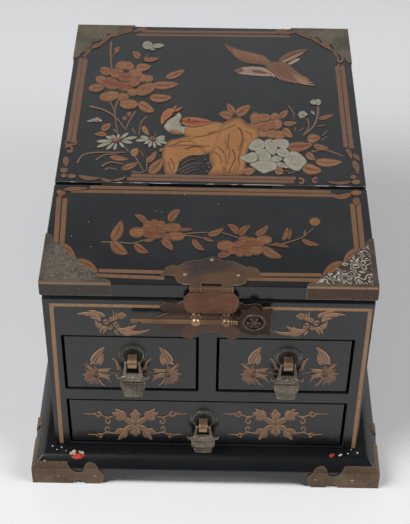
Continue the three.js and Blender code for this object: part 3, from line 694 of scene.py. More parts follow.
MOUNT = Brass("mount_brass", field=(0.150, 0.108, 0.066), dark=(0.085, 0.052, 0.034),
              bright=(0.36, 0.27, 0.17), edge_reach=0.7 * MM)
HINGE = Brass("hinge_brass", field=(0.24, 0.17, 0.10), dark=(0.09, 0.06, 0.04),
              bright=(0.55, 0.42, 0.25))
SEAM_HINGE = Brass("seam_hinge_bronze", field=(0.026, 0.021, 0.017), dark=(0.012, 0.010, 0.009),
                   bright=(0.075, 0.058, 0.042), mottle=0.15)
RUSSET = Brass("russet_brass", field=(0.165, 0.074, 0.040), dark=(0.092, 0.044, 0.028),
               bright=(0.38, 0.22, 0.13), mottle=0.1, roughness=0.46)
LOCK_PLATE = Brass("lock_plate_brass", field=(0.100, 0.056, 0.040), dark=(0.046, 0.030, 0.028),
                   bright=(0.40, 0.31, 0.22), mottle=0.15, roughness=0.42)
HEAD_BRASS = Brass("bar_head_brass", field=(0.040, 0.020, 0.013), dark=(0.022, 0.012, 0.009),
                   bright=(0.20, 0.13, 0.08), mottle=0.12)
# The plate's nail heads are painted bright as highlights.
PLATE = Brass("plate_brass", field=(0.150, 0.088, 0.050), dark=(0.062, 0.046, 0.045),
              bright=(0.46, 0.34, 0.21), mottle=0.1, dulled=(0.0018, -0.140, 0.021),
              nails=((1.8, -135.7), (-16.45, -151.2), (20.05, -151.2)),
              edge_reach=0.8 * MM)
HANDLED = Brass("handled_brass", field=(0.32, 0.200, 0.110), dark=(0.13, 0.075, 0.042),
                bright=(0.80, 0.62, 0.44), roughness=0.27, mottle=0.15)
BAR_BRASS = Brass("bar_brass", field=(0.210, 0.124, 0.064), dark=(0.110, 0.062, 0.036),
                  bright=(0.46, 0.32, 0.19), roughness=0.34, mottle=0.15)
PULL_BRASS = Brass("pull_brass", field=(0.175, 0.145, 0.106), dark=(0.034, 0.027, 0.019),
                   bright=(0.50, 0.44, 0.34), roughness=0.36, mottle=0.4, edge_reach=0.6 * MM)
# Dark bronze whose bright colour shows only on its edges, so that the flutes carry a painted highlight.
ROSETTE = Brass("rosette_bronze", field=(0.030, 0.031, 0.028), dark=(0.014, 0.014, 0.013),
                bright=(0.34, 0.33, 0.29), roughness=0.34, mottle=0.0)
NAIL = Brass("nail_bronze", field=(0.045, 0.038, 0.031), dark=(0.020, 0.017, 0.015),
             bright=(0.16, 0.13, 0.10), mottle=0.1)
# Near black, for a dome that is painted as the shade inside a small hole.
HOLE_SHADE = Brass("painted_hole_shade", field=(0.006, 0.005, 0.004), dark=(0.003, 0.003, 0.003),
               bright=(0.012, 0.010, 0.008), roughness=0.6, metallic=0.0)


class Palette:
    """Builds each finish once."""

    def __init__(self) -> None:
        """Starts empty."""
        self.made: dict[str, bpy.types.Material] = {}

    def of(self, finish: Any) -> bpy.types.Material:
        """The material of a finish."""
        if finish.name not in self.made:
            self.made[finish.name] = finish.build()
        return self.made[finish.name]


PALETTE = Palette()


# Pieces

MERGED = 0.002 * MM
FLAT_DEG = 0.5
ROUNDED_FROM_DEG = 32.0


def add_piece(
    name: str,
    mesh: bpy.types.Mesh,
    finish: Any,
    body: Body,
    replaces: Iterable[str] = (),
    smooth_deg: float = 38.0,
) -> None:
    """Links a finished mesh as a piece of the case.

    Args:
        name: the piece's name.
        mesh: its mesh, in place in the frame.
        finish: what it is finished with.
        body: the body that it rides on.
        replaces: the nodes that it stands for.
        smooth_deg: edges sharper than this stay sharp.
    """
    mesh.name = name
    mesh.materials.clear()
    mesh.materials.append(PALETTE.of(finish))
    mesh.polygons.foreach_set("use_smooth", [True] * len(mesh.polygons))
    mesh.set_sharp_from_angle(angle=math.radians(smooth_deg))
    piece = bpy.data.objects.new(name, mesh)
    bpy.context.scene.collection.objects.link(piece)
    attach(piece, body.value)
    if replaces:
        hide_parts(*replaces)
    LOG.info("%s: %d faces on %s", name, len(mesh.polygons), body.value)


def evaluated(carrier: bpy.types.Object) -> bpy.types.Mesh:
    """The mesh of an object with its modifiers applied; the object itself is removed."""
    depsgraph = bpy.context.evaluated_depsgraph_get()
    mesh = bpy.data.meshes.new_from_object(carrier.evaluated_get(depsgraph))
    bpy.data.objects.remove(carrier)
    return mesh


def eased_front(shape: bmesh.types.BMesh, width: float) -> None:
    """Takes the top front edge of a shape off at a slant."""
    top = max(v.co.z for v in shape.verts)
    front = min(v.co.y for v in shape.verts)
    near = 0.05 * MM
    edges = [
        e for e in shape.edges
        if all(top - v.co.z < near and v.co.y - front < near for v in e.verts)
    ]
    bmesh.ops.bevel(shape, geom=edges, offset=width, segments=1, affect="EDGES", profile=0.5)


def drawn_in(mesh: bpy.types.Mesh, inset: float) -> None:
    """Draws a mesh in by an inset at its sides, its top and its foot."""
    for axis in (0, 2):
        places = [v.co[axis] for v in mesh.vertices]
        middle = (min(places) + max(places)) / 2
        scale = 1 - 2 * inset / (max(places) - min(places))
        for vertex in mesh.vertices:
            vertex.co[axis] = middle + (vertex.co[axis] - middle) * scale


def softened(
    node: bpy.types.Object, width: float, segments: int = 2, eased: float = 0.0
) -> bpy.types.Mesh:
    """A copy of a node with its points merged and its edges rounded.

    Args:
        node: the CAD node's object, which stays as it is.
        width: width of the rounding.
        segments: faces across it.
        eased: width of the slant at its top front edge, if it has one.

    Returns:
        The new mesh.
    """
    shape = bmesh.new()
    shape.from_mesh(node.data)
    bmesh.ops.remove_doubles(shape, verts=shape.verts, dist=MERGED)
    flat = math.radians(FLAT_DEG)
    bmesh.ops.dissolve_limit(shape, angle_limit=flat, verts=shape.verts, edges=shape.edges)
    if eased:
        eased_front(shape, eased)
    mesh = bpy.data.meshes.new("softened")
    shape.to_mesh(mesh)
    shape.free()
    carrier = bpy.data.objects.new("softened", mesh)
    bpy.context.scene.collection.objects.link(carrier)
    bevel = carrier.modifiers.new("rounding", "BEVEL")
    bevel.width = width
    bevel.segments = segments
    bevel.limit_method = "ANGLE"
    bevel.angle_limit = math.radians(ROUNDED_FROM_DEG)
    return evaluated(carrier)


def even_out(mesh: bpy.types.Mesh) -> None:
    """Turns each point's normal towards the larger faces round it, so that a flat board looks flat."""
    normals = [Vector() for _ in mesh.vertices]
    for face in mesh.polygons:
        for index in face.vertices:
            normals[index] += face.normal * face.area
    mesh.normals_split_custom_set_from_vertices([n.normalized() for n in normals])


def mesh_of(vertices: Sequence[Sequence[float]], faces: Sequence[Sequence[int]]) -> bpy.types.Mesh:
    """A mesh of closed shells, with its faces pointing outwards."""
    mesh = bpy.data.meshes.new("shell")
    mesh.from_pydata([tuple(v) for v in vertices], [], [tuple(f) for f in faces])
    shape = bmesh.new()
    shape.from_mesh(mesh)
    bmesh.ops.recalc_face_normals(shape, faces=shape.faces)
    shape.to_mesh(mesh)
    shape.free()
    return mesh


def joined(meshes: Sequence[bpy.types.Mesh]) -> bpy.types.Mesh:
    """Several meshes as one."""
    shape = bmesh.new()
    for mesh in meshes:
        shape.from_mesh(mesh)
    result = bpy.data.meshes.new("joined")
    shape.to_mesh(result)
    shape.free()
    return result


def tipped(axis: str, place: Sequence[float]) -> Matrix:
    """A place whose Z axis is tipped by a quarter turn: to the front about X, and to the right about Y."""
    return Matrix.Translation(place) @ Matrix.Rotation(math.pi / 2, 4, axis)


def lathed(profile: Sequence[Point], sides: int, place: Matrix) -> bpy.types.Mesh:
    """A turned shape about the local Z axis.

    Args:
        profile: radius and height of each ring, from one end on the axis to the other, or a closed
            section that stays off the axis.
        sides: faces round it.
        place: where the shape stands.

    Returns:
        The mesh in place.
    """
    ringed = [(r, h) for r, h in profile if r > 0]
    vertices = [
        (r * math.cos(2 * math.pi * s / sides), r * math.sin(2 * math.pi * s / sides), h)
        for r, h in ringed
        for s in range(sides)
    ]
    closed = profile[0][0] > 0
    rows = len(ringed)
    faces = [
        (
            row * sides + s,
            row * sides + (s + 1) % sides,
            (row + 1) % rows * sides + (s + 1) % sides,
            (row + 1) % rows * sides + s,
        )
        for row in range(rows if closed else rows - 1)
        for s in range(sides)
    ]
    if not closed:
        vertices += [(0.0, 0.0, profile[0][1]), (0.0, 0.0, profile[-1][1])]
        low, high = len(vertices) - 2, len(vertices) - 1
        faces += [(low, s, (s + 1) % sides) for s in range(sides)]
        top = (rows - 1) * sides
        faces += [(high, top + (s + 1) % sides, top + s) for s in range(sides)]
    mesh = mesh_of(vertices, faces)
    mesh.transform(place)
    return mesh


# Geometry node trees for what repeats


class GeometryTree(NodeSheet):
    """A geometry node tree with named inputs."""

    def __init__(self, name: str, sockets: dict[str, str]) -> None:
        """Makes the tree and its inputs.

        Args:
            name: the tree's name.
            sockets: type of each input, by name, after the geometry.
        """
        self.group = bpy.data.node_groups.new(name, "GeometryNodeTree")
        super().__init__(self.group)
        face = self.group.interface
        face.new_socket(name="Geometry", in_out="INPUT", socket_type="NodeSocketGeometry")
        self.identifiers = {
            label: face.new_socket(name=label, in_out="INPUT", socket_type=kind).identifier
            for label, kind in {**sockets, "Material": "NodeSocketMaterial"}.items()
        }
        face.new_socket(name="Geometry", in_out="OUTPUT", socket_type="NodeSocketGeometry")
        self.group_input = self.tree.nodes.new("NodeGroupInput")

    def given(self, name: str) -> Signal:
        """One of the tree's inputs."""
        return Signal(self, self.group_input.outputs[name])

    def ball(self, segments: int, rings: int) -> Signal:
        """A ball of radius 1."""
        sockets = {"Segments": segments, "Rings": rings, "Radius": 1.0}
        return self.node("GeometryNodeMeshUVSphere", None, sockets)

    def sized(self, shape: Signal, *halves: Signal | float) -> Signal:
        """A shape of radius 1 drawn out to three half sizes."""
        size = self.node("ShaderNodeCombineXYZ", None, dict(enumerate(halves)))
        return self.node("GeometryNodeTransform", None, {"Geometry": shape, "Scale": size})

    def finish(self, geometry: Signal) -> None:
        """Ends the tree in Realize Instances and Set Material."""
        real = self.node("GeometryNodeRealizeInstances", None, {0: geometry})
        painted = self.node("GeometryNodeSetMaterial", None,
                            {"Geometry": real, "Material": self.given("Material")})
        output = self.tree.nodes.new("NodeGroupOutput")
        self.tree.links.new(painted.socket, output.inputs[0])

    def applied(self, mesh: bpy.types.Mesh, finish: Any, **values: Any) -> bpy.types.Mesh:
        """Runs the tree on a mesh.

        Args:
            mesh: what goes in.
            finish: the finish of what comes out.
            values: the tree's inputs, with spaces written as underscores.

        Returns:
            The result as a plain mesh.
        """
        carrier = bpy.data.objects.new("carrier", mesh)
        bpy.context.scene.collection.objects.link(carrier)
        modifier = carrier.modifiers.new("tree", "NODES")
        modifier.node_group = self.group
        modifier[self.identifiers["Material"]] = PALETTE.of(finish)
        for name, value in values.items():
            modifier[self.identifiers[name.replace("_", " ")]] = value
        return evaluated(carrier)


class HeadTree(GeometryTree):
    """Domed nail heads on points that know which way they face."""

    def __init__(self) -> None:
        """Builds the tree."""
        super().__init__("nail_heads", dict.fromkeys(("Radius", "Rise"), "NodeSocketFloat"))
        radius, rise = self.given("Radius"), self.given("Rise")
        head = self.sized(self.ball(segments=12, rings=8), radius, radius, rise)
        facing = self.node("GeometryNodeInputNamedAttribute", {"data_type": "FLOAT_VECTOR"},
                           {"Name": "facing"})
        turn = self.node("FunctionNodeAlignRotationToVector", {"axis": "Z"}, {"Vector": facing})
        self.finish(self.node(
            "GeometryNodeInstanceOnPoints", None,
            {"Points": self.given("Geometry"), "Instance": head, "Rotation": turn},
        ))

    def heads(
        self, nails: Sequence[tuple[Vector, Vector]], finish: Any, radius: float, rise: float
    ) -> bpy.types.Mesh:
        """Nail heads, each with its place and the way that it faces."""
        mesh = bpy.data.meshes.new("places")
        mesh.from_pydata([tuple(place) for place, _ in nails], [], [])
        layer = mesh.attributes.new("facing", "FLOAT_VECTOR", "POINT")
        layer.data.foreach_set("vector", [c for _, way in nails for c in way])
        return self.applied(mesh, finish, Radius=radius, Rise=rise)


class RingTree(GeometryTree):
    """Long drops set in a ring, as flutes, beads or petals, about the local Z axis."""

    def __init__(self) -> None:
        """Builds the tree."""
        whole = dict.fromkeys(("Count", "Seed"), "NodeSocketInt")
        sizes = dict.fromkeys(("Radius", "Length", "Width", "Rise", "Unevenness"), "NodeSocketFloat")
        super().__init__("ring_of_drops", {**whole, **sizes})
        ring = self.node("GeometryNodeMeshCircle", None,
                         {"Vertices": self.given("Count"), "Radius": self.given("Radius")})
        halves = (self.given(name) for name in ("Length", "Width", "Rise"))
        drop = self.sized(self.ball(segments=8, rings=6), *halves)
        index = self.node("GeometryNodeInputIndex")
        share = self.node("ShaderNodeMath", {"operation": "DIVIDE"}, {0: index, 1: self.given("Count")})
        turn = self.node("ShaderNodeCombineXYZ", None, {2: share * (2 * math.pi)})
        sized = self.node(
            "FunctionNodeRandomValue", {"data_type": "FLOAT"},
            {2: 1.0 - self.given("Unevenness"), 3: 1.0, "Seed": self.given("Seed")}, output=1,
        )
        self.finish(self.node(
            "GeometryNodeInstanceOnPoints", None,
            {"Points": ring, "Instance": drop, "Rotation": turn, "Scale": sized},
        ))

    def ring(
        self, finish: Any, place: Matrix, count: int, seed: int = 1, **sizes: float
    ) -> bpy.types.Mesh:
        """A ring in its place."""
        mesh = self.applied(bpy.data.meshes.new("none"), finish, Count=count, Seed=seed, **sizes)
        mesh.transform(place)
        return mesh


class StripTree(GeometryTree):
    """A low rounded strip along each path, flat in the local XY plane."""

    def __init__(self) -> None:
        """Builds the tree."""
        super().__init__("strip_on_path", dict.fromkeys(("Half Width", "Rise"), "NodeSocketFloat"))
        path = self.node("GeometryNodeMeshToCurve", None, {0: self.given("Geometry")})
        upright = self.node("GeometryNodeSetCurveNormal", {"mode": "Z_UP"}, {0: path})
        circle = self.node("GeometryNodeCurvePrimitiveCircle", {"mode": "RADIUS"},
                           {"Resolution": 10, "Radius": 1.0})
        section = self.sized(circle, self.given("Half Width"), self.given("Rise"), 1.0)
        self.finish(self.node(
            "GeometryNodeCurveToMesh", None,
            {"Curve": upright, "Profile Curve": section, "Fill Caps": True},
        ))

    def strips(
        self,
        paths: Sequence[Sequence[Point]],
        finish: Any,
        place: Matrix,
        half_width: float,
        rise: float,
        closed: bool = False,
    ) -> bpy.types.Mesh:
        """Strips along paths given in the local plane."""
        points: list[tuple[float, float, float]] = []
        edges: list[tuple[int, int]] = []
        for path in paths:
            first = len(points)
            points += [(a, b, 0.0) for a, b in path]
            edges += [(n, n + 1) for n in range(first, len(points) - 1)]
            if closed:
                edges.append((len(points) - 1, first))
        mesh = bpy.data.meshes.new("paths")
        mesh.from_pydata(points, edges, [])
        mesh = self.applied(mesh, finish, Half_Width=half_width, Rise=rise)
        mesh.transform(place)
        return mesh


@dataclass
class Trees:
    """The three trees, built once."""

    head: HeadTree = field(default_factory=HeadTree)
    ring: RingTree = field(default_factory=RingTree)
    strip: StripTree = field(default_factory=StripTree)


# Relief drawn through the camera


@dataclass(frozen=True)
class Face:
    """A flat face of the case that carries relief: axis 2 looks up and axis 1 looks forwards."""

    axis: int
    level: float
    body: Body

    def lifted(self, point: Vector, height: float) -> Vector:
        """A point of the face, raised off it."""
        raised = point.copy()
        raised[self.axis] = self.level + (height if self.axis == 2 else -height)
        return raised

    def flat_frame(self) -> Matrix:
        """Carries the local XY plane, with Z out of the face, onto the face."""
        if self.axis == 2:
            return Matrix.Translation((0.0, 0.0, self.level))
        return tipped("X", (0.0, self.level, 0.0))


@dataclass(frozen=True)
class Enlargement:
    """An enlarged part of the photograph, whose pixels the drawings are given in."""

    left: float
    top: float
    scale: float

    def pixel(self, point: Point) -> Point:
        """The photograph's pixel for a point of the enlargement."""
        return self.left + point[0] / self.scale, self.top + point[1] / self.scale


RELIEF_MARKS = ("rim", "tone", "across", "along", "kind")


class Kind(float, Enum):
    """What is drawn on a patch of relief."""

    PLAIN = 0.0
    LEAF = 1.0
    PETAL = 2.0


PHOTO = Enlargement(0, 0, 1.0)
REAR_LEFT = Enlargement(60, 25, 9.503)
REAR_RIGHT = Enlargement(205, 25, 9.503)
FRONT_PANEL = Enlargement(50, 185, 4.9)
CASE_HEAD = Enlargement(45, 296, 4.7515)
SMALL_DRAWERS = Enlargement(60, 333.5, 5.227)
LONG_DRAWER = Enlargement(65, 394, 5.407)


def smooth_path(points: Sequence[Point], steps: int, closed: bool = False) -> list[Vector]:
    """A smooth line through points.

    Args:
        points: the points.
        steps: steps between two of them.
        closed: whether it runs back to the first.

    Returns:
        Its points, without a second copy of the first where it is closed.
    """
    knots = [Vector(p) for p in points]
    count = len(knots)
    spans = count if closed else count - 1
    line = []
    for span in range(spans):
        if closed:
            a, b, c, d = (knots[(span + k) % count] for k in (-1, 0, 1, 2))
        else:
            a, b, c, d = (knots[min(max(span + k, 0), count - 1)] for k in (-1, 0, 1, 2))
        for step in range(steps):
            t = step / steps
            line.append(
                0.5 * (2 * b + (c - a) * t + (2 * a - 5 * b + 4 * c - d) * t * t
                       + (3 * b - a - 3 * c + d) * t ** 3)
            )
    if not closed:
        line.append(knots[-1])
    return line


class Relief:
    """Low raised work on one face, gathered patch by patch into one mesh.

    Each patch stands one LAYER higher than the one before it, and the count starts again after LAYERS of
    them. What is drawn is moved by the shift, then mirrored in the upright line at mirror, if it has one.
    """

    SINK = 0.05 * MM
    LAYERS = 6
    LAYER = 0.06 * MM
    FULLNESS = 1.12
    THINNESS = 0.85
    SECTION = ((-1.0, 0.0), (-0.95, 0.72), (-0.8, 0.9), (-0.4, 0.98), (0.0, 1.0), (0.4, 0.98),
               (0.8, 0.9), (0.95, 0.72), (1.0, 0.0))
    LUMP_SECTION = ((1.0, 0.0), (0.97, 0.72), (0.88, 0.92), (0.5, 1.0))
    LEAF_STEPS = 10
    PETAL_STEPS = 8
    STEM_STEPS = 5
    CURL_STEPS = 9
    RAYED_FROM = 16
    CURL_TONE = 0.35
    CURLED_IN = 0.72
    BLUNTNESS = 0.75
    LUMP_RIM = 1.5
    BURST_SWING = 0.1
    BURST_WAVE = 2.7

    def __init__(
        self, face: Face, camera: PhotoCamera, view: Enlargement, rise: float = 0.32 * MM
    ) -> None:
        """Starts an empty relief.

        Args:
            face: the face that carries it.
            camera: the photograph's camera.
            view: the enlargement that the drawing's points are given in.
            rise: height of a patch.
        """
        self.face = face
        self.camera = camera
        self.view = view
        self.rise = rise
        self.shift: Point = (0.0, 0.0)
        self.mirror: float | None = None
        self.kind = Kind.PLAIN
        self.tone = 0.5
        self.vertices: list[Vector] = []
        self.faces: list[tuple[int, ...]] = []
        self.marks: dict[str, list[float]] = {mark: [] for mark in RELIEF_MARKS}
        self.patches = 0

    def _add(self, point: Vector, height: float, rim: float, across: float = 0.0,
             along: float = 0.0) -> int:
        """Adds one vertex at a drawn point and gives its number."""
        u, v = point[0] + self.shift[0], point[1] + self.shift[1]
        if self.mirror is not None:
            u = 2 * self.mirror - u
        pixel = self.view.pixel((u, v))
        on_face = self.camera.on_plane(pixel, self.face.axis, self.face.level)
        self.vertices.append(self.face.lifted(on_face, height))
        values = (rim, self.tone, across, along, float(self.kind))
        for mark, value in zip(RELIEF_MARKS, values):
            self.marks[mark].append(value)
        return len(self.vertices) - 1

    def _base(self) -> float:
        """The height that the next patch's rim stands at."""
        self.patches += 1
        return self.LAYER * (self.patches % self.LAYERS)

    def blade(self, line: Sequence[Vector], widths: Sequence[float], tone: float, kind: Kind) -> None:
        """A patch along a line, with a half width at each of its points and pointed ends."""
        base = self._base()
        self.tone, self.kind = tone, kind
        count = len(line)
        loops: list[list[int]] = []
        for n in range(1, count - 1):
            way = (line[n + 1] - line[n - 1]).normalized()
            side = Vector((-way.y, way.x))
            along = n / (count - 1)
            end = abs(2 * along - 1) ** 6
            loop = [
                self._add(line[n] + side * (offset * widths[n]), base + height * self.rise,
                          max(abs(offset), end), offset, along)
                for offset, height in self.SECTION
            ]
            loop.append(self._add(line[n], -self.SINK, 1.0, 0.0, along))
            loops.append(loop)
        first = self._add(line[0], base, 1.0)
        last = self._add(line[-1], base, 1.0, along=1.0)
        around = len(self.SECTION) + 1
        for a, b in zip(loops, loops[1:]):
            self.faces += [(a[k], a[(k + 1) % around], b[(k + 1) % around], b[k]) for k in range(around)]
        self.faces += [(first, loops[0][(k + 1) % around], loops[0][k]) for k in range(around)]
        self.faces += [(last, loops[-1][k], loops[-1][(k + 1) % around]) for k in range(around)]

    def leaf(
        self,
        base: Point,
        tip: Point,
        half_width: float,
        tone: float = 0.5,
        bend: float = 0.0,
        fullness: float = 0.75,
        kind: Kind = Kind.LEAF,
    ) -> None:
        """A leaf or petal from its base to its tip.

        Args:
            base: where it starts.
            tip: where it ends.
            half_width: its widest half width.
            tone: 0 for light and 1 for deep.
            bend: how far its middle stands off the straight line, as a share of its length.
            fullness: under 1 puts the widest place nearer the base.
            kind: what is drawn on it.
        """
        start, end = Vector(base), Vector(tip)
        way = end - start
        side = Vector((-way.y, way.x))
        shares = [n / self.LEAF_STEPS for n in range(self.LEAF_STEPS + 1)]
        line = [start + way * t + side * (bend * math.sin(math.pi * t)) for t in shares]
        widths = [half_width * math.sin(math.pi * t ** fullness) ** self.BLUNTNESS for t in shares]
        self.blade(line, widths, tone, kind)

    def petal(self, centre: Point, radii: Point, tone: float = 0.5, turn: float = 0.0) -> None:
        """A round petal about its centre, with its first radius turned by an angle in degrees."""
        middle = Vector(centre)
        way = Vector((math.cos(math.radians(turn)), math.sin(math.radians(turn))))
        shares = [-math.cos(math.pi * n / self.PETAL_STEPS) for n in range(self.PETAL_STEPS + 1)]
        line = [middle + way * (radii[0] * self.FULLNESS * s) for s in shares]
        widths = [radii[1] * self.FULLNESS * math.sqrt(max(0.0, 1 - s * s)) for s in shares]
        rayed = min(radii) > self.RAYED_FROM
        self.blade(line, widths, tone, Kind.PETAL if rayed else Kind.PLAIN)

    def stem(
        self, points: Sequence[Point], half_width: float, tone: float = 0.5, taper: float = 0.5
    ) -> None:
        """A drawn line through points, which thins towards its end."""
        line = smooth_path(points, self.STEM_STEPS)
        half_width *= self.THINNESS
        last = len(line) - 1
        widths = [half_width * (1 - taper * n / last) for n in range(last + 1)]
        self.blade(line, widths, tone, Kind.PLAIN)

    def lump(
        self, outline: Sequence[Point], tone: float = 0.5, steps: int = 3, grow: float = 1.0
    ) -> None:
        """A raised field inside a closed outline, all of which can be seen from its middle.

        Args:
            outline: points of the outline.
            tone: 0 for light and 1 for deep.
            steps: steps between two of its points.
            grow: how much larger than the outline the field is.
        """
        base = self._base()
        self.tone, self.kind = tone, Kind.PLAIN
        edge = smooth_path(outline, steps, closed=True)
        middle = sum(edge, Vector((0.0, 0.0))) / len(edge)
        count = len(edge)
        rings = []
        for share, height in self.LUMP_SECTION:
            level, rim = base + height * self.rise, share ** self.LUMP_RIM
            rings.append([self._add(middle.lerp(p, share * grow), level, rim) for p in edge])
        top = self._add(middle, base + self.rise, 0.0)
        low = self._add(middle, -self.SINK, 1.0)
        for a, b in zip(rings, rings[1:]):
            self.faces += [(a[k], a[(k + 1) % count], b[(k + 1) % count], b[k]) for k in range(count)]
        self.faces += [(rings[-1][k], rings[-1][(k + 1) % count], top) for k in range(count)]
        self.faces += [(rings[0][(k + 1) % count], rings[0][k], low) for k in range(count)]

    def leaves(self, rows: Sequence[Sequence[float]], **shape: Any) -> None:
        """Several leaves, each row with the x and y of its base and its tip, then leaf's other values."""
        for row in rows:
            self.leaf(row[:2], row[2:4], *row[4:], **shape)

    def petals(self, rows: Sequence[Sequence[float]]) -> None:
        """Several petals, each row with its centre's x and y, its radii, then petal's other values."""
        for row in rows:
            self.petal(row[:2], row[2:4], *row[4:])

    def stems(
        self, rows: Sequence[tuple[float, Sequence[Point]]], tone: float, taper: float
    ) -> None:
        """Several stems, each row with a half width and the points."""
        for half_width, points in rows:
            self.stem(points, half_width, tone, taper)

    def burst(
        self,
        centre: Point,
        radii: Point,
        count: int,
        half_width: float,
        start: float = 0.0,
        sweep: float = 360.0,
        tone: float = 0.4,
        hollow: float = 0.2,
    ) -> None:
        """Narrow petals round a centre.

        Args:
            centre: the flower's middle.
            radii: how far the petals reach sideways and down.
            count: number of petals.
            half_width: half width of each.
            start: angle of the first, in degrees.
            sweep: angle that they cover.
            tone: 0 for light and 1 for deep.
            hollow: share of the radius that stays free in the middle.
        """
        for n in range(count):
            angle = math.radians(start + sweep * n / max(count - (sweep < 360), 1))
            reach = 1 - self.BURST_SWING + self.BURST_SWING * math.cos(self.BURST_WAVE * n)
            way = Vector((math.cos(angle) * radii[0], math.sin(angle) * radii[1]))
            self.leaf(tuple(Vector(centre) + way * hollow), tuple(Vector(centre) + way * reach),
                      half_width, tone, fullness=1.3, kind=Kind.PLAIN)

    def curl(self, centre: Point, radius: float, start: float, turns: float, half_width: float) -> None:
        """A line that winds in towards a centre, from an angle in degrees; turns may be negative."""
        points = []
        for n in range(self.CURL_STEPS + 1):
            share = n / self.CURL_STEPS
            angle = math.radians(start + 360 * turns * share)
            reach = radius * (1 - self.CURLED_IN * share)
            points.append((centre[0] + reach * math.cos(angle), centre[1] + reach * math.sin(angle)))
        line = smooth_path(points, 2)
        self.blade(line, [half_width] * len(line), self.CURL_TONE, Kind.PLAIN)

    def finish(self, name: str, paint: ReliefPaint) -> None:
        """Makes the piece."""
        mesh = mesh_of(self.vertices, self.faces)
        for label, values in self.marks.items():
            layer = mesh.attributes.new(label, "FLOAT", "POINT")
            layer.data.foreach_set("value", values)
        add_piece(name, mesh, paint, self.face.body, smooth_deg=70.0)


# Carried-over boards and fittings


@dataclass(frozen=True)
class Fitting:
    """How one node is finished: its finish, body, slot, rounding, slant and inset."""

    node: str
    finish: Any
    body: Body
    slot: Slot
    rounding: float = 0.4 * MM
    segments: int = 2
    eased: float = 0.0
    inset: float = 0.0

    def build(self, nodes: Nodes) -> None:
        """Makes the softened piece in place of the node."""
        mesh = softened(nodes[self.node], self.rounding, self.segments, self.eased)
        if self.inset:
            drawn_in(mesh, self.inset)
        add_piece(self.node + "_finished", mesh, self.finish, self.body, [self.node])
        even_out(mesh)


def fit(nodes: Nodes, *rows: Sequence[Any]) -> None:
    """Builds fittings, each row with the values of a Fitting."""
    for row in rows:
        Fitting(*row).build(nodes)


@dataclass
class Joinery:
    """The wooden boards of the case, the lid and the drawers."""

    board_rounding: float = 0.7 * MM
    front_rounding: float = 0.5 * MM
    wood_rounding: float = 0.4 * MM
    glass_rounding: float = 0.2 * MM
    fine: int = 3
    slant: float = 2.6 * MM
    drawer_inset: float = 0.75 * MM
    plinth_bloom: Colour = (0.007, 0.0072, 0.0078)
    # Height of the painted floor reflection on the plinth.
    plinth_reflection_height: float = 14 * MM

    def build(self, nodes: Nodes) -> None:
        """Finishes every wooden node."""
        seam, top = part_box("rear_lid")[0].y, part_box("rear_lid")[1].z
        lacquer, wood = Lacquer(), BareWood()
        # The rear lid's seam edge gets pale chips and a pale line, partly wear and partly a painted
        # highlight.
        chipped_and_highlit = Lacquer(name="chipped_and_highlit_lacquer", chip_and_highlight_at=(seam, top))
        # The plinth's lacquer gets a painted reflection of the floor low round its middle.
        plinth = Lacquer(name="plinth_lacquer", bloom=self.plinth_bloom, foot_reflection_height=self.plinth_reflection_height)
        black = (Slot.LACQUER, self.board_rounding, self.fine)
        bare = (Slot.WOOD, self.wood_rounding)
        fit(
            nodes,
            ("plinth", plinth, Body.CASE, *black),
            ("left_side", lacquer, Body.CASE, *black),
            ("right_side", lacquer, Body.CASE, *black),
            ("case_back", lacquer, Body.CASE, *black),
            ("front_frame", lacquer, Body.CASE, *black, self.slant),
            ("case_floor", wood, Body.CASE, *bare),
            ("dust_board", wood, Body.CASE, *bare),
            ("drawer_divider", wood, Body.CASE, *bare),
            ("tray_floor", wood, Body.CASE, *bare),
            ("front_lid", lacquer, Body.FRONT_LID, *black),
            ("rear_lid", chipped_and_highlit, Body.REAR_LID, *black),
            ("mirror_frame", lacquer, Body.REAR_LID, Slot.LACQUER, self.wood_rounding),
            ("mirror_backboard", wood, Body.REAR_LID, *bare),
            ("mirror_glass", MirrorGlass(), Body.REAR_LID, Slot.MIRROR, self.glass_rounding),
        )
        front = (Slot.LACQUER, self.front_rounding, self.fine, 0.0, self.drawer_inset)
        for body in (Body.LEFT_DRAWER, Body.RIGHT_DRAWER, Body.LONG_DRAWER):
            fit(
                nodes,
                (body.value + "_front", lacquer, body, *front),
                (body.value + "_box", wood, body, *bare),
                (body.value + "_bottom", wood, body, *bare),
            )


@dataclass
class Hinges:
    """The hinges of the lid and of its front panel."""

    rounding: float = 0.15 * MM

    def build(self, nodes: Nodes) -> None:
        """Finishes every leaf and pin."""
        for side in ("left", "right"):
            rear = f"rear_hinge_{side}_"
            seam = f"seam_hinge_{side}_"
            owners = {
                rear + "case_leaf": Body.CASE,
                rear + "pin": Body.CASE,
                rear + "lid_leaf": Body.REAR_LID,
                seam + "rear_leaf": Body.REAR_LID,
                seam + "pin": Body.REAR_LID,
                seam + "front_leaf": Body.FRONT_LID,
            }
            for name, body in owners.items():
                finish = SEAM_HINGE if name.startswith("seam") else HINGE
                fit(nodes, (name, finish, body, Slot.AGED, self.rounding))


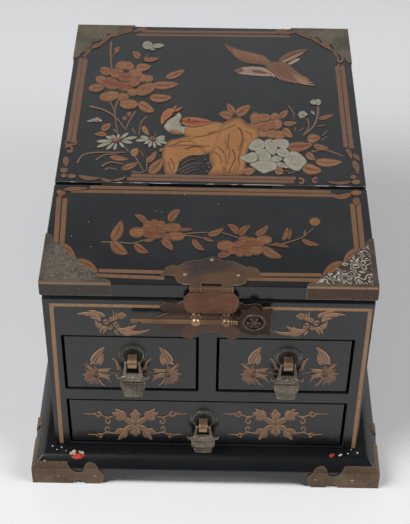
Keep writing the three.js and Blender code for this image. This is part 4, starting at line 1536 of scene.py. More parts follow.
@dataclass
class Brackets:
    """Corner brackets of the lid and foot mounts of the plinth, with their nails."""

    rounding: float = 0.16 * MM
    nail_radius: float = 0.85 * MM
    nail_rise: float = 0.4 * MM
    nail_places: tuple[float, float] = (9.4 * MM, 37.4 * MM)
    nail_level: float = 0.45

    def build(self, nodes: Nodes, trees: Trees) -> None:
        """Finishes the brackets and mounts and drives the nails of the brackets."""
        for row, body in (("front", Body.FRONT_LID), ("rear", Body.REAR_LID)):
            nails: list[tuple[Vector, Vector]] = []
            for side in ("left", "right"):
                name = f"{row}_lid_bracket_{side}"
                fit(
                    nodes,
                    (name, BRACKETS[f"{row}_{side}"], body, Slot.AGED, self.rounding),
                    (f"foot_mount_{row}_{side}", MOUNT, Body.CASE, Slot.AGED, self.rounding),
                )
                nails += self._nails(name, row, side)
            mesh = trees.head.heads(nails, NAIL, self.nail_radius, self.nail_rise)
            add_piece(f"{row}_lid_bracket_nails", mesh, NAIL, body)

    def _nails(self, name: str, row: str, side: str) -> list[tuple[Vector, Vector]]:
        """The nails on both flanges of one bracket, each with its place and the way that it faces."""
        low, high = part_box(name)
        outer_x, way_x = (low.x, 1.0) if side == "left" else (high.x, -1.0)
        outer_y, way_y = (low.y, 1.0) if row == "front" else (high.y, -1.0)
        level = low.z + (high.z - low.z) * self.nail_level
        nails = []
        for reach in self.nail_places:
            nails.append((Vector((outer_x + way_x * reach, outer_y, level)), Vector((0.0, -way_y, 0.0))))
            nails.append((Vector((outer_x, outer_y + way_y * reach, level)), Vector((-way_x, 0.0, 0.0))))
        return nails


# Drawers


@dataclass
class PullSet:
    """A rosette, its staple and the hanging pull of one drawer.

    The pull's tables hold millimetres: its stations give the height under the axis, the half width and
    the half depth, and its wings and arms give the distance from the middle before that height.
    """

    drawer: Body
    pull: Body
    flutes: int = 30
    flute_level: float = 0.44
    staple_rounding: float = 0.35 * MM
    axis_depth: float = 1.0 * MM
    full_drop: float = 35.5 * MM
    full_half: float = 12.0 * MM
    arm: Sequence[Sequence[float]] = ((4.7, 0.7, 0.4, 0.4), (4.8, 0.2, 0.95, 0.85), (5.0, -3, 1.0, 0.85),
                                      (5.4, -7, 1.1, 0.85), (6.0, -12.4, 1.3, 0.8))
    wing: Sequence[Sequence[float]] = ((3.0, -15.0, 1.5, 0.9), (7.0, -15.6, 1.6, 0.95),
                                       (9.4, -16.3, 1.2, 0.95), (10.8, -15.9, 1.1, 0.95),
                                       (11.5, -14.7, 1.6, 1.1), (11.9, -13.7, 0.6, 0.5))
    web: Sequence[Sequence[float]] = ((-11.0, 5.0, 0.5), (-11.5, 6.0, 0.75), (-13, 6.8, 0.8),
                                      (-15, 7.6, 0.8), (-18.4, 8.4, 0.8))
    bowl: Sequence[Sequence[float]] = ((-20.8, 8.3, 0.8), (-21.7, 8.9, 1.35), (-23.4, 9.0, 1.85),
                                       (-25.8, 8.9, 1.9), (-28.0, 8.4, 1.75), (-29.8, 7.5, 1.4),
                                       (-30.9, 6.3, 0.9))
    foot: Sequence[Sequence[float]] = ((-30.6, 5.8, 0.6), (-31.3, 6.9, 1.0), (-32.0, 7.0, 1.15),
                                       (-32.7, 6.7, 0.85), (-34.2, 6.5, 0.8), (-34.9, 6.7, 1.05),
                                       (-35.4, 6.2, 0.5))
    ridges: Sequence[Sequence[float]] = ((-18.0, 9.2, 0.75, 1.3), (-20.2, 8.9, 0.6, 1.2))
    ridge_sag: float = 0.5
    ridge_ends: float = 0.35
    pin: Sequence[float] = (-4.9, 0.0, 4.9)
    pin_radius: float = 0.85 * MM
    rivet_level: float = -15.4
    rivet: Sequence[Point] = ((0.0, 0.5), (1.2, 0.5), (1.0, 1.0), (0.6, 1.3), (0.0, 1.4))
    dome: Sequence[Point] = ((0.0, 0.0), (1.0, 0.0), (1.0, 0.2), (0.93, 0.36), (0.80, 0.55), (0.70, 0.66),
                             (0.52, 0.82), (0.28, 0.93), (0.0, 0.98))

    def build(self, nodes: Nodes, trees: Trees) -> None:
        """Makes the three pieces."""
        stem = self.drawer.value
        self._rosette(stem, trees)
        fit(nodes, (stem + "_staple", HANDLED, self.drawer, Slot.WORN, self.staple_rounding, 3))
        self._pull(stem)

    def _rosette(self, stem: str, trees: Trees) -> None:
        """A smooth dome with short flutes round its edge."""
        low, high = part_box(stem + "_rosette")
        radius = (high.z - low.z) / 2
        rise = high.y - low.y
        place = tipped("X", ((low.x + high.x) / 2, high.y, low.z + radius))
        dome = lathed([(r * radius, h * rise) for r, h in self.dome], sides=48, place=place)
        up = Matrix.Translation((0.0, 0.0, rise * self.flute_level))
        # The flutes' edges take the finish's bright colour as a painted highlight.
        flutes = trees.ring.ring(
            ROSETTE, place @ up, self.flutes, Radius=radius * 0.85, Length=radius * 0.14,
            Width=radius * 0.055, Rise=rise * 0.3, Unevenness=0.08,
        )
        add_piece(stem + "_rosette_finished", joined([dome, flutes]), ROSETTE, self.drawer,
                  [stem + "_rosette"])

    def _pull(self, stem: str) -> None:
        """The hanging pull: an open frame, a winged web with a rivet, ridges, a bowl and a foot."""
        low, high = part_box(stem + "_pull")
        axis = Vector(((low.x + high.x) / 2, (low.y + high.y) / 2, high.z - self.axis_depth))
        down = (axis.z - low.z) / self.full_drop
        wide = (high.x - low.x) / 2 / self.full_half

        def spot(x: float, z: float) -> Vector:
            return axis + Vector((x * MM * wide, 0.0, z * MM * down))

        across, upright = Vector((1.0, 0.0, 0.0)), Vector((0.0, 0.0, 1.0))
        parts = [
            self._loft([spot(0, z) for z, _, _ in part], [(w * MM * wide, d * MM) for _, w, d in part],
                       across)
            for part in (self.web, self.bowl, self.foot)
        ]
        for way in (-1.0, 1.0):
            for part, width in ((self.arm, across), (self.wing, upright)):
                centres = [spot(way * x, z) for x, z, _, _ in part]
                parts.append(self._loft(centres, [(w * MM, d * MM) for _, _, w, d in part], width))
        shares = [n / 4 - 1 for n in range(9)]
        for z, half, height, depth in self.ridges:
            centres = [spot(half * s, z - self.ridge_sag * (1 - s * s)) for s in shares]
            heights = [height * (1 - (1 - self.ridge_ends) * s ** 6) for s in shares]
            sizes = [(h * MM, depth * MM) for h in heights]
            parts.append(self._loft(centres, sizes, upright))
        sizes = [(self.pin_radius, self.pin_radius)] * len(self.pin)
        parts.append(self._loft([spot(x, 0) for x in self.pin], sizes, upright))
        rivet = [(r * MM, h * MM) for r, h in self.rivet]
        turned = tipped("X", spot(0, self.rivet_level))
        parts.append(lathed(rivet, sides=20, place=turned))
        add_piece(stem + "_pull_finished", joined(parts), PULL_BRASS, self.pull,
                  [stem + "_pull"], smooth_deg=50.0)

    @staticmethod
    def _loft(centres: Sequence[Vector], sizes: Sequence[Point], wide: Vector) -> bpy.types.Mesh:
        """Rounded sections strung on centres.

        Args:
            centres: middle of each section.
            sizes: half width and half depth of each.
            wide: the direction of the width; the depth is along Y.

        Returns:
            The closed mesh.
        """
        sides, squareness = 16, 0.7
        deep = Vector((0.0, 1.0, 0.0))
        vertices: list[Vector] = []
        for centre, (width, depth) in zip(centres, sizes):
            for s in range(sides):
                angle = 2 * math.pi * s / sides
                across = math.copysign(abs(math.cos(angle)) ** squareness, math.cos(angle))
                vertices.append(centre + wide * (width * across) + deep * (depth * math.sin(angle)))
        faces: list[tuple[int, ...]] = [
            (row * sides + s, row * sides + (s + 1) % sides,
             (row + 1) * sides + (s + 1) % sides, (row + 1) * sides + s)
            for row in range(len(centres) - 1)
            for s in range(sides)
        ]
        faces.append(tuple(range(sides)))
        faces.append(tuple(range((len(centres) - 1) * sides, len(centres) * sides)))
        return mesh_of(vertices, faces)


@dataclass
class PhotoPlaced:
    """What is placed by pixels of the photograph, through its camera."""

    camera: PhotoCamera


@dataclass
class DrawerArt(PhotoPlaced):
    """The gold ornaments on the drawer fronts."""

    rise: float = 0.28 * MM
    small_pitch: float = 822.0
    left_pull_at: float = 375.0
    long_centres: Point = (380.0, 1138.0)

    def build(self) -> None:
        """Draws all three fronts."""
        for number, drawer in enumerate((Body.LEFT_DRAWER, Body.RIGHT_DRAWER)):
            relief = self._new(drawer, SMALL_DRAWERS)
            shift = number * self.small_pitch
            relief.shift = (shift, 0.0)
            for mirror in (None, self.left_pull_at + shift):
                relief.mirror = mirror
                self._bud_and_aster(relief)
            relief.finish(drawer.value + "_gold", DULL_GOLD)
        relief = self._new(Body.LONG_DRAWER, LONG_DRAWER)
        for centre in self.long_centres:
            relief.shift = (centre - self.long_centres[0], 0.0)
            for mirror in (None, centre):
                relief.mirror = mirror
                self._half_scroll(relief)
            relief.mirror = None
            self._upright_lobes(relief, self.long_centres[0])
        relief.finish(Body.LONG_DRAWER.value + "_gold", DULL_GOLD)

    def _new(self, drawer: Body, view: Enlargement) -> Relief:
        """A relief on the front of a drawer."""
        face = Face(1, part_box(drawer.value + "_front")[0].y, drawer)
        return Relief(face, self.camera, view, self.rise)

    @staticmethod
    def _bud_and_aster(relief: Relief) -> None:
        """A bud over half an aster, as it stands on the left of the left pull."""
        relief.leaves((
            (172, 158, 232, 70, 21, 0.8, -0.06, 0.5), (204, 162, 224, 104, 10, 0.5, 0.08, 0.6),
            (172, 146, 156, 164, 5, 0.3),
        ))
        relief.stem([(190, 158), (186, 182), (180, 202)], 2.2, 0.4)
        for tip in ((122, 156), (134, 152), (146, 176)):
            relief.leaf((176, 200), tip, 3.4, 0.3, kind=Kind.PLAIN)
        relief.burst((180, 220), (64, 54), 14, 4.6, start=72, sweep=215, tone=0.8, hollow=0.14)
        relief.burst((180, 222), (30, 24), 8, 3.4, start=60, sweep=260, tone=0.8, hollow=0.2)
        for u, v, width, bend in (
            (268, 182, 7, 0.08), (262, 200, 5.5, -0.05), (270, 216, 4.5, 0.1), (264, 236, 5.5, -0.1),
            (276, 262, 5, -0.16), (244, 276, 4.5, 0.1),
        ):
            relief.leaf((198, 190 + 0.4 * (v - 182)), (u, v), width, 0.35, bend)
        relief.leaves((
            (302, 192, 270, 128, 6.5, 0.4, 0.2), (312, 194, 286, 146, 4.5, 0.3, 0.14),
            (322, 198, 300, 164, 3.5, 0.6, 0.1),
        ))
        relief.stem([(262, 205), (292, 206), (318, 214)], 2.2, 0.5)

    @staticmethod
    def _upright_lobes(relief: Relief, centre: float) -> None:
        """The lobes above and below the middle of a scroll, each with two side lobes."""
        for foot, lean, tip, width in ((164, 0, 82, 20), (166, 3, 228, 18)):
            relief.leaf((centre, foot), (centre + lean, tip), width, 0.9, fullness=1.2)
            level = foot + 0.45 * (tip - foot)
            reach = level + 0.28 * (tip - foot)
            for side in (-27, 27):
                relief.leaf((centre, level), (centre + side, reach), 9, 0.7, fullness=1.2)
        relief.petal((centre, 163), (13, 11), 0.8)

    @staticmethod
    def _half_scroll(relief: Relief) -> None:
        """The left half of a scroll: two lobed leaves, two stars' arms and four curls."""
        relief.leaves(((380, 162, 312, 128, 13, 0.85), (380, 166, 312, 196, 13, 0.85)), fullness=1.1)
        relief.leaves((
            (330, 130, 254, 100, 11, 0.75), (330, 130, 272, 78, 11, 0.75), (330, 130, 306, 88, 11, 0.75),
            (330, 130, 272, 134, 10, 0.75), (334, 194, 264, 212, 10, 0.8), (334, 194, 288, 248, 10, 0.8),
            (334, 194, 322, 236, 10, 0.8), (334, 194, 276, 194, 9, 0.8),
        ), fullness=1.25)
        relief.stem([(262, 118), (232, 124), (206, 116), (184, 104)], 3.4, 0.4, 0.2)
        relief.curl((182, 106), 19, 200, -1.05, 3.4)
        relief.stem([(164, 106), (132, 108), (96, 104)], 3.2, 0.4, 0.8)
        relief.curl((236, 146), 20, 290, -0.95, 3.4)
        relief.curl((232, 188), 18, 70, 0.95, 3.4)
        relief.stem([(270, 212), (236, 206), (206, 214), (188, 224)], 3.4, 0.4, 0.2)
        relief.curl((190, 226), 16, 160, 1.0, 3.2)
        relief.stem([(174, 222), (150, 218), (124, 219)], 3.2, 0.4, 0.8)


# Case front and lid


@dataclass
class CaseArt(PhotoPlaced):
    """The gold line and the winged ornaments on the front of the case.

    The line's lefts, rights and levels are measured from the edges of the front frame.
    """

    rise: float = 0.28 * MM
    line_half: float = 1.45 * MM
    line_rise: float = 0.2 * MM
    line_left: float = 6.3 * MM
    line_right: float = 3.1 * MM
    line_top: float = 8.3 * MM
    line_foot: float = 1.0 * MM
    left_slant: float = 1.9 * MM
    right_slant: float = 0.8 * MM
    middle_at: float = 790.0
    right_drop: float = 4.0

    def build(self, trees: Trees) -> None:
        """Draws the front of the case."""
        low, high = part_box("front_frame")
        face = Face(1, low.y, Body.CASE)
        left, right = low.x + self.line_left, high.x - self.line_right
        top, foot = high.z - self.line_top, low.z + self.line_foot
        half = self.line_half
        paths = [
            [(left - self.left_slant, foot), (left, top + half)],
            [(left - half, top), (right + half, top)],
            [(right + self.right_slant, foot), (right, top + half)],
        ]
        strips = trees.strip.strips(paths, CASE_LINE, face.flat_frame(), half, self.line_rise)
        add_piece("case_front_line", strips, CASE_LINE, Body.CASE)
        relief = Relief(face, self.camera, CASE_HEAD, self.rise)
        for mirror, drop in ((None, 0.0), (self.middle_at, self.right_drop)):
            relief.mirror, relief.shift = mirror, (0.0, drop)
            self._winged(relief)
        relief.finish("case_front_gold", DULL_GOLD)

    @staticmethod
    def _winged(relief: Relief) -> None:
        """A winged scroll, as it stands on the left."""
        relief.leaves((
            (262, 98, 150, 86, 8, 0.25, 0.08), (266, 108, 188, 92, 7, 0.5, 0.12),
            (268, 118, 214, 102, 6, 0.35, 0.1), (256, 84, 204, 70, 6, 0.3, 0.1),
            (284, 98, 238, 76, 8, 0.5, 0.1), (272, 140, 238, 112, 7, 0.4, -0.2),
            (262, 150, 240, 130, 5, 0.6, -0.1), (288, 144, 262, 178, 7, 0.4, 0.2),
            (296, 152, 276, 180, 5, 0.6, 0.1), (310, 122, 320, 66, 5, 0.5, 0.22),
            (324, 118, 338, 72, 4, 0.3, 0.15), (334, 110, 352, 100, 5, 0.4, 0.0),
            (340, 158, 436, 136, 9, 0.3, 0.12), (352, 164, 424, 150, 6, 0.6, 0.1),
            (372, 164, 504, 156, 8, 0.25, 0.1), (356, 170, 428, 176, 6, 0.5, 0.12),
            (330, 162, 352, 184, 5, 0.5, 0.0), (384, 162, 402, 140, 4, 0.5, 0.0),
        ), fullness=0.65)
        for u, v, radius, start, turns in (
            (290, 126, 13, 180, 1.0), (314, 112, 12, 20, -1.0), (338, 132, 14, 0, 1.0),
            (312, 146, 12, 200, -0.9), (288, 152, 9, 90, 0.9), (344, 152, 9, 270, 0.9),
        ):
            relief.curl((u, v), radius, start, turns, 3.6)
        relief.burst((364, 92), (24, 17), 7, 6.5, tone=0.35, hollow=0.25)
        relief.petal((364, 92), (6, 5), 0.8)


@dataclass
class LidBorders(PhotoPlaced):
    """The doubled gold borders of both lid panels, with leaves at their corners."""

    half: float = 1.72 * MM
    rise: float = 0.24 * MM

    def build(self, trees: Trees) -> None:
        """Draws both borders."""
        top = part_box("front_lid")[1].z
        self._front(Face(2, top, Body.FRONT_LID), trees)
        self._rear(Face(2, top, Body.REAR_LID), trees)

    def _strips(self, name: str, lines: Sequence[tuple[Point, Point]], face: Face, paint: ReliefPaint,
                trees: Trees, view: Enlargement) -> None:
        """Straight strips between points of the photograph."""
        paths = []
        for ends in lines:
            spots = [self.camera.on_plane(view.pixel(p), 2, face.level) for p in ends]
            paths.append([(s.x, s.y) for s in spots])
        mesh = trees.strip.strips(paths, paint, face.flat_frame(), self.half, self.rise)
        add_piece(name, mesh, paint, face.body)

    def _front(self, face: Face, trees: Trees) -> None:
        """The border of the front panel."""
        lines = (
            ((44, 60), (29, 282)), ((74, 66), (59, 286)), ((196, 10), (1376, 34)), ((100, 29), (1400, 52)),
            ((1481, 92), (1502, 308)), ((1510, 86), (1533, 316)), ((240, 419), (556, 427)),
            ((180, 440), (560, 456)), ((1018, 438), (1330, 441)), ((962, 460), (1352, 467)),
        )
        self._strips("front_lid_border", lines, face, BORDER, trees, FRONT_PANEL)
        relief = Relief(face, self.camera, FRONT_PANEL)
        relief.leaves((
            (38, 290, 126, 366, 21, 0.45, -0.1), (118, 372, 238, 432, 22, 0.45, -0.1),
            (1524, 316, 1436, 388, 22, 0.45, 0.1), (1442, 382, 1330, 464, 24, 0.45, 0.1),
            (64, 24, 188, 18, 11, 0.4), (80, 36, 42, 74, 12, 0.5, 0.2),
        ))
        relief.petal((50, 38), (17, 12), 0.4, turn=20)
        relief.leaf((1480, 44), (1376, 54), 14, 0.4, bend=-0.1)
        relief.petal((1500, 40), (24, 13), 0.3)
        relief.leaf((1498, 62), (1504, 106), 20, 0.5)
        relief.finish("front_lid_corner_leaves", FRONT_GOLD)

    def _rear(self, face: Face, trees: Trees) -> None:
        """The border of the rear panel."""
        lines = (
            ((81.0, 58.5), (68.4, 141.5)), ((85.5, 59.5), (73.3, 142.5)), ((142, 31.3), (290, 32.9)),
            ((137, 34.8), (290, 36.4)), ((131, 175.2), (296, 178.3)), ((127, 178.7), (294, 181.8)),
            ((337.2, 66.5), (345.8, 147.5)), ((342.3, 66.5), (351.5, 148.5)),
        )
        self._strips("rear_lid_border", lines, face, PINK_BORDER, trees, PHOTO)
        left = Relief(face, self.camera, REAR_LEFT)
        left.leaves((
            (835, 40, 690, 75, 18, 0.5), (700, 50, 548, 100, 20, 0.6), (560, 96, 452, 118, 18, 0.4),
            (490, 105, 372, 205, 22, 0.6), (396, 190, 286, 236, 20, 0.5), (300, 225, 226, 318, 18, 0.5),
            (236, 312, 268, 372, 14, 0.4), (62, 1250, 64, 1352, 30, 0.5),
            (170, 1432, 392, 1454, 20, 0.5), (380, 1455, 508, 1486, 13, 0.4),
            (500, 1480, 640, 1440, 12, 0.4),
        ), bend=0.08)
        left.curl((86, 1186), 44, 200, 0.9, 11)
        left.stem([(60, 1100), (52, 1130), (80, 1140), (150, 1130), (156, 1100)], 9, 0.4, 0.0)
        left.petals(((38, 1382, 34, 22, 0.4), (36, 1434, 26, 18, 0.3), (112, 1440, 36, 20, 0.3)))
        left.finish("rear_lid_left_leaves", REDDENED)
        right = Relief(face, self.camera, REAR_RIGHT)
        right.leaves((
            (650, 85, 800, 55, 20, 0.5), (770, 90, 880, 70, 14, 0.4), (860, 75, 1010, 140, 20, 0.6),
            (1000, 125, 1105, 195, 18, 0.5), (1090, 180, 1215, 255, 20, 0.5),
            (1200, 235, 1262, 320, 16, 0.4), (1404, 1290, 1452, 1420, 30, 0.5),
            (1400, 1232, 1470, 1296, 22, 0.5), (1340, 1180, 1392, 1280, 20, 0.4),
            (1400, 1490, 1140, 1484, 14, 0.6),
        ), bend=-0.08)
        for centre, radius, start, turns in (
            ((1278, 330), 36, 300, 0.9), ((1296, 396), 34, 240, -0.9), ((912, 1490), 34, 220, 0.9),
            ((1048, 1484), 30, 320, -0.9),
        ):
            right.curl(centre, radius, start, turns, 10)
        right.petals(((1410, 1448, 26, 20, 0.4), (1436, 1496, 38, 22, 0.2)))
        right.finish("rear_lid_right_leaves", REDDENED)


@dataclass
class FrontPanelArt(PhotoPlaced):
    """The spray of blossoms on the front panel of the lid."""

    def build(self) -> None:
        """Draws the spray."""
        face = Face(2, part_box("front_lid")[1].z, Body.FRONT_LID)
        stems = Relief(face, self.camera, FRONT_PANEL, rise=0.2 * MM)
        for line in (
            [(246, 280), (330, 280), (405, 286), (470, 268), (540, 262)],
            [(640, 246), (700, 236), (775, 234)], [(640, 250), (700, 252), (756, 264)],
            [(840, 236), (880, 246), (930, 262)],
            [(1070, 296), (1130, 292), (1230, 262), (1262, 238), (1294, 212)],
        ):
            stems.stem(line, half_width=3.2, tone=0.3, taper=0.3)
        stems.finish("front_lid_stems", STEM)
        relief = Relief(face, self.camera, FRONT_PANEL, rise=0.36 * MM)
        relief.leaves((
            (300, 272, 348, 172, 30, 0.45, 0.1), (302, 272, 384, 340, 30, 0.45, 0.1),
            (414, 288, 484, 332, 21, 0.55, 0.1), (474, 192, 414, 148, 17, 0.55, 0.1),
            (544, 272, 602, 326, 21, 0.5, -0.1), (584, 182, 640, 122, 24, 0.45, -0.1),
            (770, 242, 852, 212, 17, 0.45, 0.1), (634, 222, 702, 218, 9, 0.6, 0.0),
            (748, 260, 806, 280, 9, 0.6, 0.0), (698, 266, 758, 322, 17, 0.55, 0.1),
            (924, 244, 868, 196, 19, 0.6, 0.1), (926, 250, 984, 200, 18, 0.55, -0.1),
            (1004, 244, 1070, 198, 17, 0.45, 0.1), (818, 352, 902, 320, 12, 0.5, 0.1),
            (1036, 304, 1138, 356, 25, 0.45, 0.08), (1088, 290, 1174, 306, 10, 0.6, 0.0),
            (1138, 276, 1162, 206, 14, 0.45, 0.1), (1166, 268, 1178, 214, 8, 0.4, 0.1),
            (1232, 264, 1322, 294, 13, 0.5, 0.1), (1246, 254, 1250, 220, 6, 0.4, 0.0),
            (456, 272, 520, 262, 9, 0.5, 0.1), (820, 346, 864, 330, 8, 0.6, 0.0),
        ))
        relief.petals((
            (478, 194, 20, 19, 0.5), (512, 188, 20, 20, 0.6), (544, 194, 20, 19, 0.5),
            (470, 218, 20, 18, 0.5), (426, 234, 34, 27, 0.15), (512, 242, 52, 24, 0.85),
            (502, 216, 22, 17, 0.6), (546, 222, 26, 18, 0.55), (602, 210, 38, 24, 0.5),
            (618, 252, 38, 24, 0.25), (572, 256, 22, 18, 0.7), (862, 300, 40, 27, 0.4),
            (896, 324, 26, 18, 0.6), (952, 270, 26, 20, 0.45), (986, 276, 24, 20, 0.5),
            (932, 330, 26, 22, 0.55), (966, 300, 34, 20, 0.85), (972, 332, 24, 20, 0.6),
            (1012, 320, 28, 26, 0.3), (1048, 270, 36, 23, 0.25), (1024, 290, 22, 16, 0.6),
            (1298, 182, 24, 22, 0.1), (922, 292, 20, 17, 0.6),
        ))
        relief.finish("front_lid_blossoms", FRONT_GOLD)


@dataclass
class RearPanelArt(PhotoPlaced):
    """Rock, blossoms and two birds on the rear panel of the lid."""

    def build(self) -> None:
        """Draws the whole panel from the ground up."""
        self._rock()
        self._left_stems()
        self._left_blossoms()
        self._daisies()
        self._perched_bird()
        self._flying_bird()
        self._right_flowers()

    def _new(self, view: Enlargement, rise: float = 0.36 * MM) -> Relief:
        """A relief on the rear panel."""
        face = Face(2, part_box("rear_lid")[1].z, Body.REAR_LID)
        return Relief(face, self.camera, view, rise)

    def _rock(self) -> None:
        """An arched garden rock, with folds drawn on it and water under its arch."""
        rock = self._new(PHOTO, rise=0.42 * MM)
        rock.lump([
            (168.4, 141), (178, 138.5), (190, 136), (201, 141), (207, 153), (200, 155.5), (190, 155.8),
            (181, 161), (177, 168), (175.5, 174.4), (166, 174.8), (163.5, 165), (162, 152),
        ], tone=0.35)
        rock.lump([
            (186, 137.5), (195.7, 128.3), (205, 124), (215, 121.6), (226, 124), (238, 129), (240, 138),
            (230, 147), (216, 152), (206, 154), (196, 149),
        ], tone=0.2)
        rock.lump([
            (221, 125), (231, 119), (240, 117.4), (247.3, 123.5), (257.6, 127.6), (260, 136),
            (252.6, 142), (248, 150), (246, 163), (243, 174.8), (224, 175.2), (208, 175), (212, 168),
            (209, 158), (214, 140),
        ], tone=0.35)
        rock.finish("rear_lid_rock", ROCK)
        shadows = self._new(PHOTO, rise=0.66 * MM)
        shadows.stems((
            (1.6, [(166, 147), (178, 146), (196, 146), (212, 147)]),
            (1.4, [(224, 140), (230, 152), (226, 166)]), (1.6, [(240, 128), (243, 142), (238, 160)]),
            (1.2, [(206, 134), (222, 131), (238, 124)]), (1.5, [(222, 166), (226, 174.5)]),
            (1.3, [(236, 164), (234, 174.5)]), (1.4, [(168, 160), (171, 173)]),
            (1.3, [(210, 151), (219, 156), (222, 166)]), (1.1, [(246, 132), (254, 136)]),
        ), tone=0.35, taper=0.6)
        shadows.finish("rear_lid_rock_shadows", FOLD)
        folds = self._new(PHOTO, rise=0.74 * MM)
        for line in (
            [(191, 138), (206, 136), (222, 131), (236, 126)],
            [(216, 146), (223, 152), (226, 160), (225, 173)], [(229, 133), (228, 144), (226, 151)],
            [(237, 127), (242, 134), (241, 145), (238, 152)],
            [(232, 149), (235, 158), (231, 168), (229, 174)], [(243, 130), (250, 134), (252, 140)],
            [(172, 146), (182, 142), (192, 142)], [(170, 158), (174, 166), (172, 173)],
            [(238, 156), (239, 165), (236, 173)], [(184, 150), (196, 147), (206, 149)],
        ):
            folds.stem(line, half_width=0.42, tone=0.3, taper=0.7)
        folds.finish("rear_lid_rock_folds", INK)
        water = self._new(PHOTO, rise=0.2 * MM)
        for line in (
            [(178, 171), (186, 166), (196, 163.5), (202, 164)],
            [(180, 173), (189, 168.5), (199, 166.5)], [(184, 174), (192, 170.5), (198, 169.5)],
            [(181, 166), (188, 161), (197, 159.5)],
        ):
            water.stem(line, half_width=0.5, tone=0.3, taper=0.6)
        for spot in ((205.5, 160), (208, 163.5), (209, 167.5), (207, 171.5)):
            water.petal(spot, radii=(0.8, 0.7), tone=0.1)
        water.finish("rear_lid_water", STEM)

    def _left_stems(self) -> None:
        """Stems and grass at the left."""
        stems = self._new(REAR_LEFT, rise=0.24 * MM)
        stems.stems((
            (13, [(488, 150), (482, 300), (500, 480)]), (8, [(540, 244), (498, 310)]),
            (11, [(562, 700), (520, 830), (552, 1040)]), (9, [(470, 715), (520, 830)]),
            (12, [(270, 773), (420, 812), (540, 892), (622, 1004)]),
            (11, [(722, 812), (655, 920), (622, 1004)]), (9, [(834, 866), (770, 930), (752, 1056)]),
            (7, [(900, 1060), (915, 1020)]), (10, [(160, 1320), (215, 1242), (340, 1214), (640, 1214)]),
            (9, [(335, 1290), (430, 1236), (560, 1230)]), (10, [(390, 1350), (480, 1308), (610, 1328)]),
            (8, [(425, 1376), (470, 1360), (550, 1376)]), (9, [(500, 985), (560, 1040)]),
            (8, [(620, 1160), (655, 1215)]), (9, [(700, 1230), (800, 1400)]),
            (7, [(760, 1190), (800, 1262)]), (9, [(830, 1240), (820, 1400)]),
            (8, [(675, 1390), (760, 1405), (820, 1380)]), (9, [(680, 975), (720, 1040)]),
            (6, [(800, 320), (860, 268)]),
        ), tone=0.4, taper=0.45)
        stems.finish("rear_lid_left_stems", STEM)

    def _left_blossoms(self) -> None:
        """The large spray at the left."""
        spray = self._new(REAR_LEFT)
        spray.leaves((
            (868, 572, 1138, 558, 45, 0.5), (1000, 502, 1194, 428, 38, 0.5),
            (844, 690, 1070, 690, 46, 0.45), (720, 402, 872, 398, 44, 0.35),
            (788, 334, 946, 320, 25, 0.6), (760, 318, 688, 252, 36, 0.5), (744, 736, 900, 826, 52, 0.4),
            (520, 262, 564, 208, 26, 0.5), (390, 1000, 486, 938, 36, 0.55),
            (450, 1048, 322, 1042, 24, 0.55), (786, 962, 848, 1056, 30, 0.2),
            (470, 1250, 656, 1276, 26, 0.45), (580, 1368, 748, 1308, 32, 0.7),
            (676, 1240, 742, 1172, 44, 0.1), (840, 1412, 985, 1268, 56, 0.6),
            (830, 1310, 920, 1200, 30, 0.6), (940, 1200, 990, 1178, 16, 0.3),
        ), bend=0.04)
        spray.petals((
            (590, 386, 58, 46, 0.5, -10), (652, 390, 48, 44, 0.45, 20), (434, 440, 52, 42, 0.7, 10),
            (540, 462, 60, 50, 0.65), (716, 462, 58, 48, 0.4), (622, 498, 68, 44, 0.85),
            (404, 528, 62, 44, 0.45, 20), (482, 556, 80, 60, 0.95, 15), (780, 506, 46, 42, 0.4),
            (838, 514, 44, 36, 0.35), (700, 544, 56, 46, 0.6), (346, 602, 68, 40, 0.6, -5),
            (612, 580, 76, 50, 0.9, 10), (470, 678, 86, 50, 0.45, -10), (690, 642, 46, 38, 0.6),
            (600, 690, 50, 44, 0.65), (812, 614, 92, 56, 0.6, -20), (654, 756, 80, 48, 0.4),
            (655, 848, 20, 22, 0.6), (614, 890, 20, 20, 0.6),
        ))
        spray.finish("rear_lid_left_blossoms", GOLD)

    def _daisies(self) -> None:
        """Daisies, a tuft and a butterfly in cream at the left."""
        cream = self._new(REAR_LEFT, rise=0.34 * MM)
        for heart, tips in (
            ((545, 1098), ((345, 1110), (345, 1165), (440, 1190), (515, 1197), (612, 1172), (692, 1122),
                           (738, 1066), (652, 1028), (432, 1062), (488, 1050), (560, 1040))),
            ((882, 1086), ((716, 1102), (760, 1062), (800, 1132), (845, 1167), (905, 1174), (962, 1152),
                           (1022, 1127), (1002, 1088), (1000, 1062))),
        ):
            for tip in tips:
                base = Vector(heart).lerp(Vector(tip), 0.2)
                cream.leaf(tuple(base), tip, 17, 0.2, fullness=1.35, kind=Kind.PETAL)
        cream.burst((350, 925), (66, 50), 5, 12, start=215, sweep=120, tone=0.3)
        cream.leaf((316, 912), (250, 918), 12, 0.3)
        cream.petal((832, 196), (44, 40), 0.4)
        cream.leaves(((872, 206, 998, 196, 26, 0.3), (850, 226, 905, 244, 16, 0.5)))
        cream.finish("rear_lid_daisies", CREAM)
        hearts = self._new(REAR_LEFT, rise=0.5 * MM)
        hearts.petals(((530, 1086, 42, 26, 0.8), (880, 1080, 30, 18, 0.8), (350, 918, 26, 12, 0.6)))
        hearts.finish("rear_lid_daisy_hearts", GOLD)

